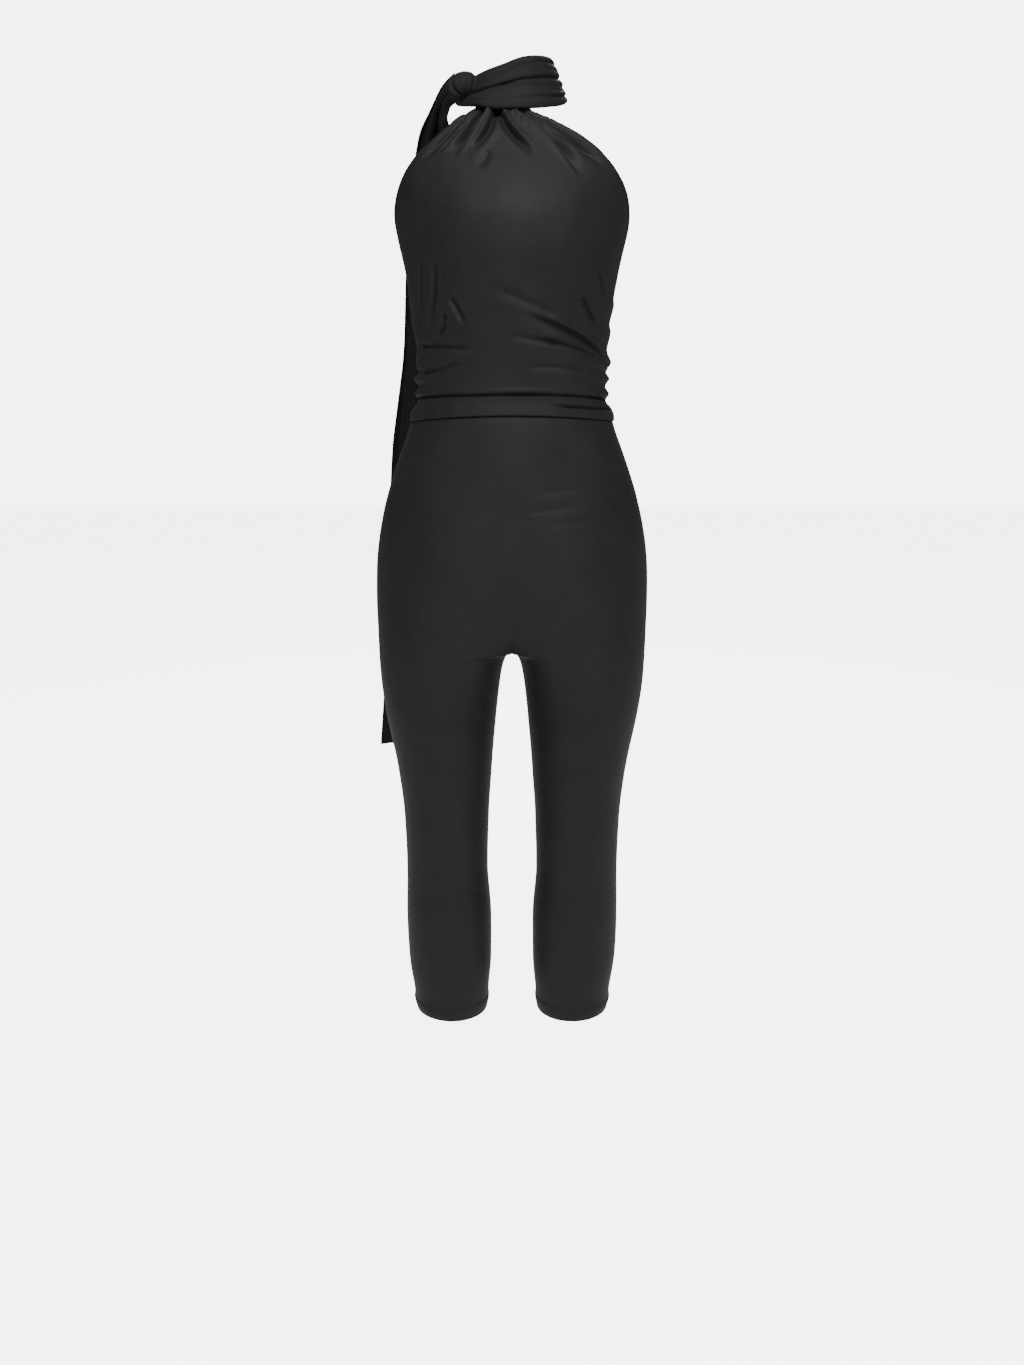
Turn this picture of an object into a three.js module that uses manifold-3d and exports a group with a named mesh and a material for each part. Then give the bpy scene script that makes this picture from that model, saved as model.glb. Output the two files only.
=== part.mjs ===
// Halter-neck jumpsuit of soft stretch jersey, capri length, in its worn, hollow form.
// Millimetres, +Z up. +X is the wearer's left, -Y the front.
// The origin is the middle of the neck opening, half way up the wound scarf.
import * as THREE from 'three';
import { mergeVertices } from 'three/addons/utils/BufferGeometryUtils.js';
import Module from 'manifold-3d';

// Cloth and gaps
const JERSEY = 1.4;
const HEM_WALL = 2.2;
const SCARF_WALL = 3;
const TAIL_WALL = 1.6;
const SEAM_GAP = 0.3;
const LAID_GAP = 0.5;

// Heights that shape the cut
const ARMHOLE_END = -227;
const BLOUSE_START = -300;
const BODICE_EDGE = -367;
const BODICE_EDGE_RISE = 6;
const CROTCH = -650;
const HEM_FOLD = -1127;
const HEM_EDGE = -1144;
const HEM_SIDE_RISE = 1;
const CROTCH_MITRE = 3;

// The side seam lies a little behind the widest place, in degrees from the centre front
const SIDE_SEAM = 104;
const BACK_DIP = 20;

// Angles between which the side gathers come in and die away, and the folds of each side end
const GATHERS_IN = [40, 82];
const GATHERS_OUT = [118, 165];
const FRONT_FOLDS_OUT = [84, 100];
const BACK_FOLDS_IN = [104, 125];

// The mitre at a centre seam reaches no deeper than this share of a wall would ask
const MITRE_LIMIT = 0.45;

// Grid sizes
const BODICE_COLUMNS = 40;
const BACK_COLUMNS = 22;
const LEG_COLUMNS = 22;
const SECTION_STEPS = 72;
const SCARF_COLUMNS = 40;
const TAIL_COLUMNS = 14;
const TAIL_ROWS = 25;
const KNOT_COLUMNS = 20;
const KNOT_ROWS = 14;

// Just below the crotch the leg's columns stay in line with those above it
const CROTCH_CROWD = 0.25;
const CROWD_END = -790;

const DEGREE = Math.PI / 180;

const BLACK_JERSEY = { color: 0x1b1a1c, roughness: 0.62, metalness: 0 };
const BLACK_SCARF = { color: 0x181819, roughness: 0.66, metalness: 0 };

// A table with named columns becomes a list of row objects
function table(columns, rows) {
  return rows.map((row) => Object.fromEntries(columns.map((name, place) => [name, row[place]])));
}

// The figure inside the bodice: half width, middle, front and back of each level section
const BODY = table(
  ['height', 'halfWidth', 'middle', 'front', 'back'],
  [
    [-12, 56, -10, -57, 40],
    [-26, 61, -14, -62, 50],
    [-34, 88, -18, -65, 56],
    [-42, 118, -12, -69, 62],
    [-61, 138, -2, -79, 74],
    [-81, 147, 3, -90, 84],
    [-100, 148, 5, -101, 90],
    [-120, 143, 5, -111, 95],
    [-148, 137, 4, -120, 98],
    [-181, 129.5, 3, -120, 98],
    [-204, 125, 2, -115, 94],
    [-227, 121.5, 2, -109, 89],
    [-250, 118, 1, -103, 84],
    [-275, 115.5, 0, -97, 80],
    [-299, 114.5, 0, -92, 76],
    [-318, 114, -1, -89, 75],
    [-344, 115, -3, -87.5, 75],
    [-359, 121, -4, -88.5, 78],
    [-368, 124, -4, -89, 80],
  ],
);

// The front panel's free edges, in degrees from the centre front
const ARMHOLE = table(
  ['height', 'right', 'left'],
  [
    [-12, 42, 14],
    [-26, 41, 15],
    [-34, 34.5, 17],
    [-42, 33, 22],
    [-61, 38.5, 35.5],
    [-81, 48, 46],
    [-100, 57, 56],
    [-120, 67.5, 67.5],
    [-148, 83, 83],
    [-181, 95, 95],
    [-204, 100, 100],
    [ARMHOLE_END, SIDE_SEAM, SIDE_SEAM],
    [-400, SIDE_SEAM, SIDE_SEAM],
  ],
);

// Gathers along the side seams: how far the cloth stands out at each height
const SIDE_GATHERS = table(
  ['height', 'right', 'left'],
  [
    [-204, 0, 0],
    [-225, 0.8, -0.4],
    [-234, 1.6, 1.2],
    [-244, 1.8, 0.2],
    [-254, 2, -0.8],
    [-265, 1, 1.6],
    [-275, -0.2, 0.4],
    [-284, -1.2, -1],
    [-292, -0.2, 1.5],
    [-299, 1, 4],
    [-305, 0, 1.2],
    [-311, -1.8, -1.6],
    [-318, 3.6, 2.8],
    [-327, -1.2, -1.6],
    [-335, 1.8, 2.2],
    [-344, -0.6, -1.4],
    [-352, 1, 1.6],
    [-359, 1.6, 2.2],
    [-368, 0, 0],
  ],
);

// A fold's shape across, and the shares of its length over which it comes in and dies away
const CREASE_SHOULDER = 0.75;
const CREASE_SPREAD = 1.6;
const CREASE_REACH = 3;
const FOLD_IN = 0.25;
const FOLD_OUT = 0.6;
const FOLD_STEPS = 14;

const FOLD_COLUMNS = [
  'across', 'height', 'acrossMiddle', 'heightMiddle', 'acrossEnd', 'heightEnd', 'depth', 'width', 'open',
];

// Pleats that run out of the neck gather, as places seen from the front.
// Depth is into the cloth; open 1 keeps the full depth at the first place.
const NECK_PLEATS = table(FOLD_COLUMNS, [
  [-39, -26, -71, -59, -100, -85, 2.2, 5, 1],
  [-44, -38, -67, -64, -84, -80, 1.3, 4, 0],
  [-28, -26, -42, -51, -60, -68, 3.4, 7, 1],
  [-18, -26, -25, -52, -38, -70, 2.6, 5, 1],
  [-27, -80, -30, -88, -34, -98, 0.8, 7, 0],
  [-15, -26, 1, -51, 21, -80, 3.2, 6, 1],
  [3, -26, 25, -47, 72, -102, 3.6, 8, 1],
  [8, -26, 38, -48, 98, -88, 2.6, 5, 1],
]);

// Folds of the bloused waist, as places seen from the front
const WAIST_FOLDS = table(FOLD_COLUMNS, [
  [-103, -192, -103, -228, -110, -272, 1.8, 8, 0],
  [-84, -200, -86, -230, -99, -284, 2.4, 8, 0],
  [-73, -246, -76, -262, -88, -280, 1.5, 5, 0],
  [-73, -228, -63, -246, -53, -264, 1, 6, 0],
  [-96, -288, -70, -286, -36, -289, 1.6, 6, 0],
  [-102, -314, -72, -308, -34, -301, 1.3, 6, 0],
  [-16, -222, 44, -261, 112, -300, 4, 10, 0],
  [20, -270, 56, -276, 94, -288, 1.8, 6, 0],
  [-12, -272, 26, -279, 60, -284, 1, 6, 0],
  [97, -204, 103, -220, 109, -238, 1.6, 7, 0],
  [80, -232, 90, -246, 100, -262, 2.2, 8, 0],
  [16, -308, 50, -308, 86, -312, 1.2, 7, 0],
  [-114, -340, 0, -335, 96, -344, 2.6, 6, 0],
  [44, -350, 80, -352, 114, -356, 1.8, 5, 0],
]);

// Folds of the back waist panel, as places seen from the back
const BACK_FOLDS = table(FOLD_COLUMNS, [
  [-112, -282, -50, -290, 20, -286, 1.8, 8, 0],
  [-20, -308, 50, -312, 112, -300, 2, 8, 0],
  [-112, -318, -60, -322, -10, -320, 1.6, 7, 0],
  [-112, -340, 0, -337, 112, -341, 2.4, 6, 0],
]);

// Heights of the bodice rows: the neck and chest first, then the bloused waist
const CHEST_ROWS = [-12, -19, -26, -34, -42, -51, -60, -71, -83, -97, -112, -130, -148, -168, -188, -207];
const WAIST_ROWS = [
  -227, -234, -244, -254, -265, -275, -284, -292, -299, -305, -311, -318, -327, -335, -344, -352, -359, -367,
];

// Trousers: outer half width, half gap between the legs, middle of the leg, front and back.
// Parting is 0 where the two sides run on into each other and 1 where the legs are apart.
const TROUSERS = table(
  ['height', 'outer', 'gap', 'centre', 'parting', 'front', 'back'],
  [
    [-338, 106, 0, 0, 0, -79, 67.5],
    [-352, 111.5, 0, 0, 0, -82, 71.5],
    [-366, 121.4, 0, 0, 0, -86, 77.6],
    [-379, 125.8, 0, 0, 0, -87.5, 83],
    [-404, 135.5, 0, 1, 0, -89, 91],
    [-440, 149, 0, 5, 0, -90, 101],
    [-490, 162.5, 0, 16, 0, -92, 112],
    [-545, 168.5, 0, 34, 0, -94, 120],
    [-590, 169, 0, 55, 0.02, -93.5, 120],
    [-616, 168, 0, 68, 0.1, -92, 115],
    [-634, 167.5, 0, 76, 0.3, -90.5, 109],
    [-644, 167, 0, 80.5, 0.6, -89.5, 105],
    [CROTCH, 167, 0, 83.5, 1, -89, 102],
    [-652, 167, 2.5, 84.7, 1, -88.5, 101],
    [-657, 166.5, 7, 86.7, 1, -88, 99],
    [-668, 166, 12.5, 89.2, 1, -87.5, 97],
    [-690, 165, 17, 91, 1, -86, 93],
    [-730, 160, 21.5, 90.7, 1, -82, 86],
    [-800, 147, 27, 87, 1, -73, 72],
    [-870, 139, 31.7, 85.4, 1, -64, 58],
    [-940, 136, 34, 85, 1, -57, 55],
    [-1010, 137.5, 30, 83.7, 1, -52, 62],
    [-1070, 136, 30.5, 83.2, 1, -49, 64],
    [HEM_FOLD + 1, 130, 34, 82, 1, -45, 58],
    [HEM_FOLD - 1, 129.8, 34.2, 82, 1, -45, 58],
    [HEM_EDGE, 126.5, 37.5, 82, 1, -43, 54],
  ],
);

// The wound scarf by angle from the centre front towards the wearer's left:
// height and distance of its lower and upper edge, and how high up four creases lie
const SCARF = table(
  ['angle', 'lowHeight', 'lowReach', 'topHeight', 'topReach', 'first', 'second', 'third', 'fourth'],
  [
    [-60, -23, 70, 8, 54, 0.14, 0.26, 0.36, 0.5],
    [-35, -28, 71, 12, 54, 0.14, 0.3, 0.44, 0.64],
    [-12, -31, 69, 17, 52, 0.17, 0.37, 0.52, 0.75],
    [15, -30, 68, 25, 51, 0.18, 0.4, 0.54, 0.8],
    [45, -24, 67, 30, 48, 0.16, 0.38, 0.54, 0.8],
    [90, -9, 63, 35, 45.5, 0.14, 0.34, 0.53, 0.8],
    [135, 0, 60, 38, 48, 0.18, 0.38, 0.56, 0.8],
    [180, 2, 59, 36, 51, 0.2, 0.4, 0.6, 0.8],
    [225, -3, 60, 27, 52, 0.2, 0.4, 0.6, 0.8],
    [270, -14, 64, 15, 53, 0.18, 0.36, 0.54, 0.72],
    [300, -23, 70, 8, 54, 0.14, 0.26, 0.36, 0.5],
  ],
);
const SCARF_ROLL = 2.1;
const SCARF_CREASE = -0.9;
const KNOT_SIDE = 30;

// The knot: a soft lump of folded cloth at the wearer's right of the neck
const KNOT = { x: -61, y: -37, z: -4, across: 18, deep: 15, tall: 17, lean: 28 * DEGREE };
const KNOT_LOBES = 5;
const KNOT_LOBE_DEPTH = 0.045;
const KNOT_LOBE_TWIST = 3;

// The hanging end: its outer and inner long edges, and how deep its folds wave
const TAIL = table(
  ['along', 'outerX', 'outerY', 'outerZ', 'innerX', 'innerY', 'innerZ', 'wave'],
  [
    [0, -66, -26, 15, -54, -38, -15, 1.5],
    [20, -79, -6, 5, -73, -10, -20, 2.5],
    [48, -96, 20, -13, -76, 20, -23, 3.5],
    [80, -111, 48, -33, -72, 50, -34, 4],
    [125, -121, 76, -70, -70, 78, -68, 4.5],
    [180, -128, 96, -120, -68, 98, -120, 5],
    [245, -135, 110, -178, -66, 111, -178, 5.5],
    [345, -141, 118, -277, -66, 118, -277, 6],
    [410, -150, 121, -341, -67, 121, -341, 6],
    [475, -159, 124, -405, -68, 124, -405, 6],
    [660, -170, 131, -590, -68, 133, -590, 5],
    [800, -178, 133, -731, -68, 134, -731, 4.5],
    [878, -185, 133, -812, -72, 134, -801, 4],
  ],
);
const TAIL_FOLDS = 2.5;

// Rows lie closer together where the hanging end goes over the shoulder
const TAIL_EVEN_SHARE = 0.45;

// A smooth curve through a table's rows that never swings past them
function smoothTable(rows, key) {
  const places = rows.map((row) => row[key]);
  const climbing = places[1] > places[0];
  const ordered = climbing ? rows : [...rows].reverse();
  const knots = ordered.map((row) => row[key]);
  const names = Object.keys(rows[0]).filter((name) => name !== key);
  const slopes = Object.fromEntries(names.map((name) => [name, gentleSlopes(knots, ordered, name)]));
  return (place) => {
    const inside = Math.min(Math.max(place, knots[0]), knots[knots.length - 1]);
    let span = knots.findIndex((knot) => knot > inside) - 1;
    if (span < 0) span = knots.length - 2;
    const width = knots[span + 1] - knots[span];
    const share = (inside - knots[span]) / width;
    const result = { [key]: place };
    for (const name of names) {
      const from = ordered[span][name];
      const to = ordered[span + 1][name];
      const easeIn = slopes[name][span] * width;
      const easeOut = slopes[name][span + 1] * width;
      result[name] = hermite(share, from, to, easeIn, easeOut);
    }
    return result;
  };
}

function hermite(t, from, to, easeIn, easeOut) {
  const square = t * t;
  const cube = square * t;
  return (
    (2 * cube - 3 * square + 1) * from +
    (cube - 2 * square + t) * easeIn +
    (3 * square - 2 * cube) * to +
    (cube - square) * easeOut
  );
}

// Slopes that are flat at peaks and the harmonic mean elsewhere
function gentleSlopes(knots, rows, name) {
  const rises = [];
  for (let place = 0; place + 1 < knots.length; place += 1) {
    rises.push((rows[place + 1][name] - rows[place][name]) / (knots[place + 1] - knots[place]));
  }
  return knots.map((_, place) => {
    if (place === 0) return rises[0];
    if (place === knots.length - 1) return rises[rises.length - 1];
    const before = rises[place - 1];
    const after = rises[place];
    return before * after <= 0 ? 0 : (2 * before * after) / (before + after);
  });
}

function smoothStep(from, to, value) {
  const share = Math.min(Math.max((value - from) / (to - from), 0), 1);
  return share * share * (3 - 2 * share);
}

const bodyAt = smoothTable(BODY, 'height');
const armholeAt = smoothTable(ARMHOLE, 'height');
const gathersAt = smoothTable(SIDE_GATHERS, 'height');
const scarfAt = smoothTable(SCARF, 'angle');
const tailAt = smoothTable(TAIL, 'along');

// The outward direction at each point of a grid whose rows run down and whose columns run round
function gridNormals(grid, closed) {
  const lastRow = grid.length - 1;
  const lastColumn = grid[0].length - 1;
  return grid.map((line, row) =>
    line.map((_, column) => {
      const above = grid[Math.max(row - 1, 0)][column];
      const below = grid[Math.min(row + 1, lastRow)][column];
      const left = closed && column === 0 ? line[lastColumn] : line[Math.max(column - 1, 0)];
      const right = closed && column === lastColumn ? line[0] : line[Math.min(column + 1, lastColumn)];
      const down = new THREE.Vector3().subVectors(below, above);
      const along = new THREE.Vector3().subVectors(right, left);
      return down.cross(along).normalize();
    }),
  );
}

function movedAlong(grid, normals, distanceAt) {
  return grid.map((line, row) =>
    line.map((point, column) => point.clone().addScaledVector(normals[row][column], distanceAt(row, column))),
  );
}

// Draws a panel's two side edges in by half a seam gap
function seamEdges(grid, firstEdge, lastEdge) {
  return grid.map((line) => {
    const last = line.length - 1;
    const result = line.map((point) => point.clone());
    if (firstEdge) result[0].add(towards(line[0], line[1], SEAM_GAP / 2));
    if (lastEdge) result[last].add(towards(line[last], line[last - 1], SEAM_GAP / 2));
    return result;
  });
}

function towards(from, to, distance) {
  return new THREE.Vector3().subVectors(to, from).setLength(distance);
}

// The closed wall between an outer grid and an inner one
function wallGeometry(outer, inner, closed) {
  const rows = outer.length;
  const columns = outer[0].length;
  const positions = [];
  for (const side of [outer, inner]) {
    for (const line of side) {
      for (const point of line) positions.push(point.x, point.y, point.z);
    }
  }
  const place = (side, row, column) => (side * rows + row) * columns + (column % columns);
  const indices = [];
  const face = (a, b, c, d) => indices.push(a, b, c, a, c, d);
  const at = (row, column) => outer[row][column % columns];
  const spans = closed ? columns : columns - 1;
  for (let row = 0; row + 1 < rows; row += 1) {
    for (let column = 0; column < spans; column += 1) {
      const next = column + 1;
      const falling = at(row, column).distanceTo(at(row + 1, next));
      const rising = at(row + 1, column).distanceTo(at(row, next));
      const ring = [[row, column], [row + 1, column], [row + 1, next], [row, next]];
      if (rising < falling) ring.push(ring.shift());
      const [first, ...others] = ring;
      face(...ring.map(([line, post]) => place(0, line, post)));
      face(...[first, ...others.reverse()].map(([line, post]) => place(1, line, post)));
    }
  }
  const bottom = rows - 1;
  for (let column = 0; column < spans; column += 1) {
    const next = column + 1;
    face(place(0, 0, column), place(0, 0, next), place(1, 0, next), place(1, 0, column));
    face(place(0, bottom, column), place(1, bottom, column), place(1, bottom, next), place(0, bottom, next));
  }
  if (!closed) {
    const end = columns - 1;
    for (let row = 0; row < bottom; row += 1) {
      face(place(0, row, 0), place(1, row, 0), place(1, row + 1, 0), place(0, row + 1, 0));
      face(place(0, row, end), place(0, row + 1, end), place(1, row + 1, end), place(1, row, end));
    }
  }
  const geometry = new THREE.BufferGeometry();
  geometry.setAttribute('position', new THREE.Float32BufferAttribute(positions, 3));
  geometry.setIndex(indices);
  geometry.computeVertexNormals();
  return geometry;
}

// A crease with a plump shoulder on each side, as a share of its depth
function creaseProfile(distance, width) {
  const reach = (distance / width) ** 2;
  return -(1 - CREASE_SHOULDER * reach) * Math.exp(-reach / CREASE_SPREAD);
}

// How far round the body a place seen from the front or back lies, in millimetres
function aroundFromAcross(across, height) {
  const half = bodyAt(height).halfWidth;
  return half * Math.asin(Math.min(Math.max(across / half, -1), 1));
}

function foldLine(fold) {
  const place = (across, height) => new THREE.Vector2(aroundFromAcross(across, height), height);
  return new THREE.SplineCurve([
    place(fold.across, fold.height),
    place(fold.acrossMiddle, fold.heightMiddle),
    place(fold.acrossEnd, fold.heightEnd),
  ]).getPoints(FOLD_STEPS);
}

// The summed effect of a list of folds at one place of the flat-seen cloth
function foldField(folds) {
  const lines = folds.map((fold) => ({ fold, points: foldLine(fold) }));
  return (around, height) => {
    let total = 0;
    for (const { fold, points } of lines) {
      const nearest = nearestOnLine(points, around, height);
      if (nearest.distance > CREASE_REACH * fold.width) continue;
      const start = fold.open ? 1 : smoothStep(0, FOLD_IN, nearest.share);
      const end = 1 - smoothStep(FOLD_OUT, 1, nearest.share);
      total += fold.depth * start * end * creaseProfile(nearest.distance, fold.width);
    }
    return total;
  };
}

function nearestOnLine(points, x, y) {
  let best = { distance: Infinity, share: 0 };
  for (let place = 0; place + 1 < points.length; place += 1) {
    const from = points[place];
    const alongX = points[place + 1].x - from.x;
    const alongY = points[place + 1].y - from.y;
    const length = alongX * alongX + alongY * alongY;
    const share = Math.min(Math.max(((x - from.x) * alongX + (y - from.y) * alongY) / length, 0), 1);
    const distance = Math.hypot(x - from.x - share * alongX, y - from.y - share * alongY);
    if (distance < best.distance) best = { distance, share: (place + share) / (points.length - 1) };
  }
  return best;
}

const neckPleats = foldField(NECK_PLEATS);
const waistFolds = foldField(WAIST_FOLDS);
const backFolds = foldField(BACK_FOLDS);

// A point of the figure at a height and an angle in degrees from the centre front
function bodyPoint(height, angle) {
  const body = bodyAt(height);
  const forward = Math.cos(angle * DEGREE);
  const depth = forward >= 0 ? body.middle - body.front : body.back - body.middle;
  return new THREE.Vector3(
    body.halfWidth * Math.sin(angle * DEGREE),
    body.middle - depth * forward,
    height,
  );
}

// The lower edge of the bodice lies a little higher at the middle than at the sides
function hungHeight(height, angle) {
  const share = smoothStep(BLOUSE_START, BODICE_EDGE, height);
  return height + share * Math.cos(angle * DEGREE) ** 2 * BODICE_EDGE_RISE;
}

// How far the bodice cloth stands out of the figure: side gathers and folds
function bodiceRelief(height, angle) {
  const turn = Math.abs(angle);
  const sideShare = smoothStep(...GATHERS_IN, turn) * (1 - smoothStep(...GATHERS_OUT, turn));
  const gathers = gathersAt(height);
  const gather = angle < 0 ? gathers.right : gathers.left;
  const half = bodyAt(height).halfWidth;
  const around = half * angle * DEGREE;
  const frontShare = 1 - smoothStep(...FRONT_FOLDS_OUT, turn);
  const behind = half * (turn - 180) * DEGREE * Math.sign(angle);
  const backShare = smoothStep(...BACK_FOLDS_IN, turn);
  return (
    sideShare * gather +
    frontShare * (neckPleats(around, height) + waistFolds(around, height)) +
    backShare * backFolds(behind, height)
  );
}

// A bodice panel from its rows of heights and the angles of its two edges. It is worked out
// one column past each edge, so that neighbours agree at the seam they share.
function bodicePanel(heights, columns, edgesAt, dipAt) {
  const base = heights.map((height) => {
    const [from, to] = edgesAt(height);
    const line = [];
    for (let column = -1; column <= columns; column += 1) {
      const angle = from + ((to - from) * column) / (columns - 1);
      line.push({ angle, height: hungHeight(height, angle) + dipAt(height, angle) });
    }
    return line;
  });
  const smooth = base.map((line) => line.map(({ angle, height }) => bodyPoint(height, angle)));
  const signed = (angle) => (angle > 180 ? angle - 360 : angle);
  const relief = (row, column) => {
    const { angle, height } = base[row][column];
    return bodiceRelief(height, signed(angle));
  };
  const outer = movedAlong(smooth, gridNormals(smooth, false), relief);
  const inner = movedAlong(outer, gridNormals(outer, false), () => -JERSEY);
  const panelSide = (grid) => seamEdges(grid.map((line) => line.slice(1, -1)), true, true);
  return wallGeometry(panelSide(outer), panelSide(inner), false);
}

function bodiceFront() {
  const edgesAt = (height) => {
    const edges = armholeAt(height);
    return [-edges.right, edges.left];
  };
  return bodicePanel([...CHEST_ROWS, ...WAIST_ROWS], BODICE_COLUMNS, edgesAt, () => 0);
}

// The back waist panel's upper edge dips towards the centre back
function backWaist() {
  const edgesAt = () => [SIDE_SEAM, 360 - SIDE_SEAM];
  const dipAt = (height, angle) => {
    const middle = Math.cos(((angle - 180) / (180 - SIDE_SEAM)) * 90 * DEGREE) ** 2;
    return -BACK_DIP * middle * smoothStep(BLOUSE_START, ARMHOLE_END, height);
  };
  return bodicePanel(WAIST_ROWS, BACK_COLUMNS, edgesAt, dipAt);
}

// Half a level section of the wearer's left side, from the middle plane or the inseam to
// the side seam. Reach is the depth in front of (negative) or behind the side seam.
function halfSection(cut, reach) {
  const middle = (cut.front + cut.back) / 2;
  const run = [];
  for (let step = 0; step <= SECTION_STEPS; step += 1) {
    const turn = Math.PI * (1 - step / SECTION_STEPS);
    const level = Math.cos(turn);
    const inner = level < 0;
    const x = cut.centre + (inner ? cut.centre - cut.gap : cut.outer - cut.centre) * level;
    const y = middle + reach * Math.sqrt(1 - (inner ? cut.parting : 1) * level * level);
    run.push(new THREE.Vector2(Math.max(x, 0), y));
  }
  const crowd = cut.height > CROTCH ? 0 : CROTCH_CROWD * (1 - smoothStep(CROTCH, CROWD_END, cut.height));
  return spaced(run, LEG_COLUMNS / 2, crowd);
}

// The same run with its points an equal way apart, or crowded towards the side seam
function spaced(run, spans, crowd) {
  const lengths = [0];
  for (let place = 1; place < run.length; place += 1) {
    lengths.push(lengths[place - 1] + run[place].distanceTo(run[place - 1]));
  }
  const whole = lengths[lengths.length - 1];
  const result = [];
  for (let span = 0; span <= spans; span += 1) {
    const back = 1 - span / spans;
    const wanted = whole * (1 - (1 - crowd) * back - crowd * back ** 3);
    let next = lengths.findIndex((length) => length >= wanted && length > 0);
    if (next < 1) next = run.length - 1;
    const share = (wanted - lengths[next - 1]) / (lengths[next] - lengths[next - 1]);
    result.push(new THREE.Vector2().lerpVectors(run[next - 1], run[next], Math.min(share, 1)));
  }
  return result;
}

// The outside of the wearer's left leg and hip: a loop from the inner front round the
// side to the inner back. Above the crotch the loop opens at the centre seams.
function legSurface() {
  return TROUSERS.map((cut) => {
    const depth = (cut.back - cut.front) / 2;
    const front = halfSection(cut, -depth);
    const back = halfSection(cut, depth).reverse();
    const rise = cut.height < HEM_FOLD - 1 ? HEM_SIDE_RISE : 0;
    return [...front, ...back.slice(1)].map((place) => {
      const lift = (rise * (place.x - cut.centre)) / (cut.outer - cut.centre);
      return new THREE.Vector3(place.x, place.y, cut.height + lift);
    });
  });
}

// The inside of the leg's cloth. At the centre seams it is mitred against its mirror image.
function legInside(outer) {
  const lastRow = outer.length - 1;
  const last = LEG_COLUMNS;
  return outer.map((line, row) => {
    const apart = TROUSERS[row].height < CROTCH;
    const wall = TROUSERS[row].height < HEM_FOLD ? HEM_WALL : JERSEY;
    const above = outer[Math.max(row - 1, 0)];
    const below = outer[Math.min(row + 1, lastRow)];
    return line.map((point, column) => {
      const down = new THREE.Vector3().subVectors(below[column], above[column]);
      const seam = column === 0 || column === last;
      const before = line[column === 0 ? last - 1 : column - 1];
      const after = line[column === last ? 1 : column + 1];
      if (seam && TROUSERS[row].height === CROTCH) return point.clone().setZ(point.z + CROTCH_MITRE);
      if (!seam || apart) {
        const normal = down.cross(new THREE.Vector3().subVectors(after, before)).normalize();
        return point.clone().addScaledVector(normal, -wall);
      }
      const alongSeam = column === 0 ? after.clone().sub(point) : point.clone().sub(before);
      const lean = down.clone().cross(alongSeam).normalize();
      const level = lean.clone().setX(0).normalize();
      return point.clone().addScaledVector(level, -wall / Math.max(lean.dot(level), MITRE_LIMIT));
    });
  });
}

function trouserPanel(front, left) {
  const outer = legSurface();
  const inner = legInside(outer);
  const middle = LEG_COLUMNS / 2;
  const part = (grid) => {
    const kept = grid.map((line) => (front ? line.slice(0, middle + 1) : line.slice(middle)));
    const seamed = seamEdges(kept, true, true).map((line, row) => centreGap(line, row, front));
    return left ? seamed : seamed.map((line) => line.map((point) => mirrored(point)).reverse());
  };
  return wallGeometry(part(outer), part(inner), false);
}

// Above the crotch the centre seam edge stands half a gap off the middle plane
function centreGap(line, row, front) {
  if (TROUSERS[row].height < CROTCH) return line;
  const edge = front ? 0 : line.length - 1;
  return line.map((point, column) => {
    const least = SEAM_GAP / 2;
    if (column !== edge) return point.x < least ? point.clone().setX(least) : point;
    return point.clone().setX(least);
  });
}

function mirrored(point) {
  return new THREE.Vector3(-point.x, point.y, point.z);
}

// The wound scarf: rolls between creases outside, plain inside
function scarfGeometry(outwards, wall) {
  const outer = [];
  const inner = [];
  const shares = (cut) => {
    const creases = [cut.first, cut.second, cut.third, cut.fourth];
    const stops = [0, ...creases, 1];
    const lines = [{ up: 0, roll: 0 }];
    for (let place = 0; place + 1 < stops.length; place += 1) {
      lines.push({ up: (stops[place] + stops[place + 1]) / 2, roll: SCARF_ROLL });
      lines.push({ up: stops[place + 1], roll: place + 2 < stops.length ? SCARF_CREASE : 0 });
    }
    return lines.reverse();
  };
  const rings = shares(scarfAt(0)).length;
  for (let ring = 0; ring < rings; ring += 1) {
    outer.push([]);
    inner.push([]);
  }
  for (let column = 0; column < SCARF_COLUMNS; column += 1) {
    const angle = SCARF[0].angle + (360 * column) / SCARF_COLUMNS;
    const cut = scarfAt(angle);
    const across = Math.sin(angle * DEGREE);
    const forward = -Math.cos(angle * DEGREE);
    shares(cut).forEach(({ up, roll }, ring) => {
      const reach = cut.lowReach + (cut.topReach - cut.lowReach) * up;
      const height = cut.lowHeight + (cut.topHeight - cut.lowHeight) * up;
      const out = reach + roll + outwards;
      const inside = reach - wall;
      const end = up === 0 ? -outwards : up === 1 ? outwards : 0;
      outer[ring].push(new THREE.Vector3(out * across, out * forward, height + end));
      inner[ring].push(new THREE.Vector3(inside * across, inside * forward, height + end));
    });
  }
  return wallGeometry(outer, inner, true);
}

// The knot's lump, its lobes turning round the neck's slope, grown by a given distance
function knotLump(outwards) {
  const geometry = new THREE.SphereGeometry(1, KNOT_COLUMNS, KNOT_ROWS);
  const position = geometry.attributes.position;
  for (let place = 0; place < position.count; place += 1) {
    const x = position.getX(place);
    const y = position.getY(place);
    const z = position.getZ(place);
    const turn = Math.atan2(y, x);
    const flat = Math.hypot(x, y);
    const wave = Math.cos(KNOT_LOBES * turn + KNOT_LOBE_TWIST * z);
    const lobes = 1 - KNOT_LOBE_DEPTH * flat * (1 + wave);
    position.setXYZ(
      place,
      x * (KNOT.across * lobes + outwards),
      y * (KNOT.deep * lobes + outwards),
      z * (KNOT.tall + outwards),
    );
  }
  geometry.rotateY(KNOT.lean);
  geometry.translate(KNOT.x, KNOT.y, KNOT.z);
  return geometry;
}

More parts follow.
